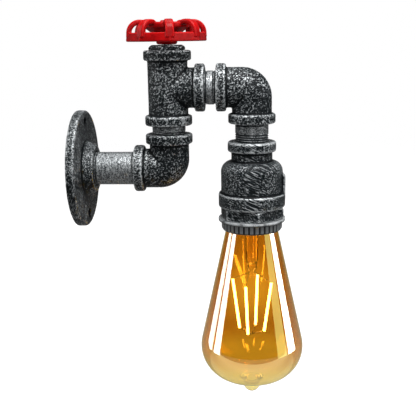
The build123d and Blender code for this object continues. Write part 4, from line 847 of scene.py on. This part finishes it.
def stem_outline():
    """Half outline of the stem: down its outside to the rod's end, then up inside its tube to the flare."""
    low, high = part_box("glass_stem")
    top, end = high.z / MM, low.z / MM
    press = end + PRESS_ABOVE_ROD_END
    flare, tube, rod = STEM_FLARE_OD / 2, STEM_TUBE_OD / 2, STEM_ROD_D / 2
    tube_z, inner = top - STEM_FLARE_HEIGHT, STEM_TUBE_OD / 2 - STEM_WALL
    outside = [(tube + (flare - tube) * (1 - s) ** 1.8, top - STEM_FLARE_HEIGHT * s)
               for s in np.linspace(0, 1, 10)]
    outside += [(tube, tube_z + (press + PRESS_HALF - tube_z) * s) for s in (0.25, 0.5, 0.75, 1.0)]
    outside += [(rod + (tube - rod) * (1 - smoothstep(s, 0, 1)), press + PRESS_HALF - 2 * PRESS_HALF * s)
                for s in np.linspace(0, 1, 12)[1:]]
    outside += [(rod, end + 3.0), (rod, end + 0.8), (rod * 0.8, end + 0.2), (rod * 0.4, end),
                (NEAR_AXIS, end)]
    closing = press + PRESS_HALF + STEM_WALL
    inside = [(NEAR_AXIS, closing), (inner * 0.5, closing + 0.6), (inner * 0.85, closing + 1.6),
              (inner, closing + 3.4), (inner, tube_z)]
    inside += [(inner + (flare - tube) * (1 - s) ** 1.8, top - STEM_FLARE_HEIGHT * s)
               for s in np.linspace(1, 0, 10)[1:]]
    return outside + inside


stem_side = stem_outline()
stem_mesh = turned_glass("stem", stem_side, len(stem_side) // 2, STEM_AROUND)
stem_mesh.materials.append(coloured_glass("stem_glass", STEM_TINT, STEM_TINT_EDGE, STEM_TINT, STEM_SHADOW,
                                           coat=0.8))
stem = stand_in("glass_stem", "lamp_stem", "lamp", stem_mesh)

# ---------------------------------------------------------------- filaments and leads
# Four bars coated with phosphor glow between the forked leads and the cross of wire below. The wires
# are plain steel.
GLOW = (1.0, 0.88, 0.68, 1.0)
GLOW_STRENGTH = 200.0
PHOSPHOR = (0.9, 0.62, 0.16, 1.0)
WIRE_GREY, WIRE_DARK = (0.12, 0.09, 0.06, 1.0), (0.03, 0.022, 0.015, 1.0)


def glowing_phosphor():
    finish = Finish("glowing_phosphor")
    grain = finish.grain(0.7, 2.0)
    finish.set(Base_Color=PHOSPHOR, Roughness=0.6, Emission_Color=GLOW)
    finish.set(Emission_Strength=finish.between(grain, 0.3, 0.7, GLOW_STRENGTH * 0.9, GLOW_STRENGTH * 1.1))
    return finish.material


dress("led_filaments", glowing_phosphor())
lead_metal = plain_metal("lead_metal", WIRE_GREY, WIRE_DARK, 0.35)
dress("lead_wires", lead_metal)
dress("bridge_wire", lead_metal)

# the strip boxes are screened off from the ironwork, and the other boxes from the lamp's glass
for boxes, screening in ((strip_boxes, "INCLUDE"), (main_boxes, "EXCLUDE")):
    glass_pieces = bpy.data.collections.new("glass_" + screening.lower())
    for glass_piece in (envelope, stem):
        glass_pieces.objects.link(glass_piece)
    for entry in glass_pieces.collection_objects:
        entry.light_linking.link_state = screening
    for box in boxes:
        box.light_linking.receiver_collection = glass_pieces
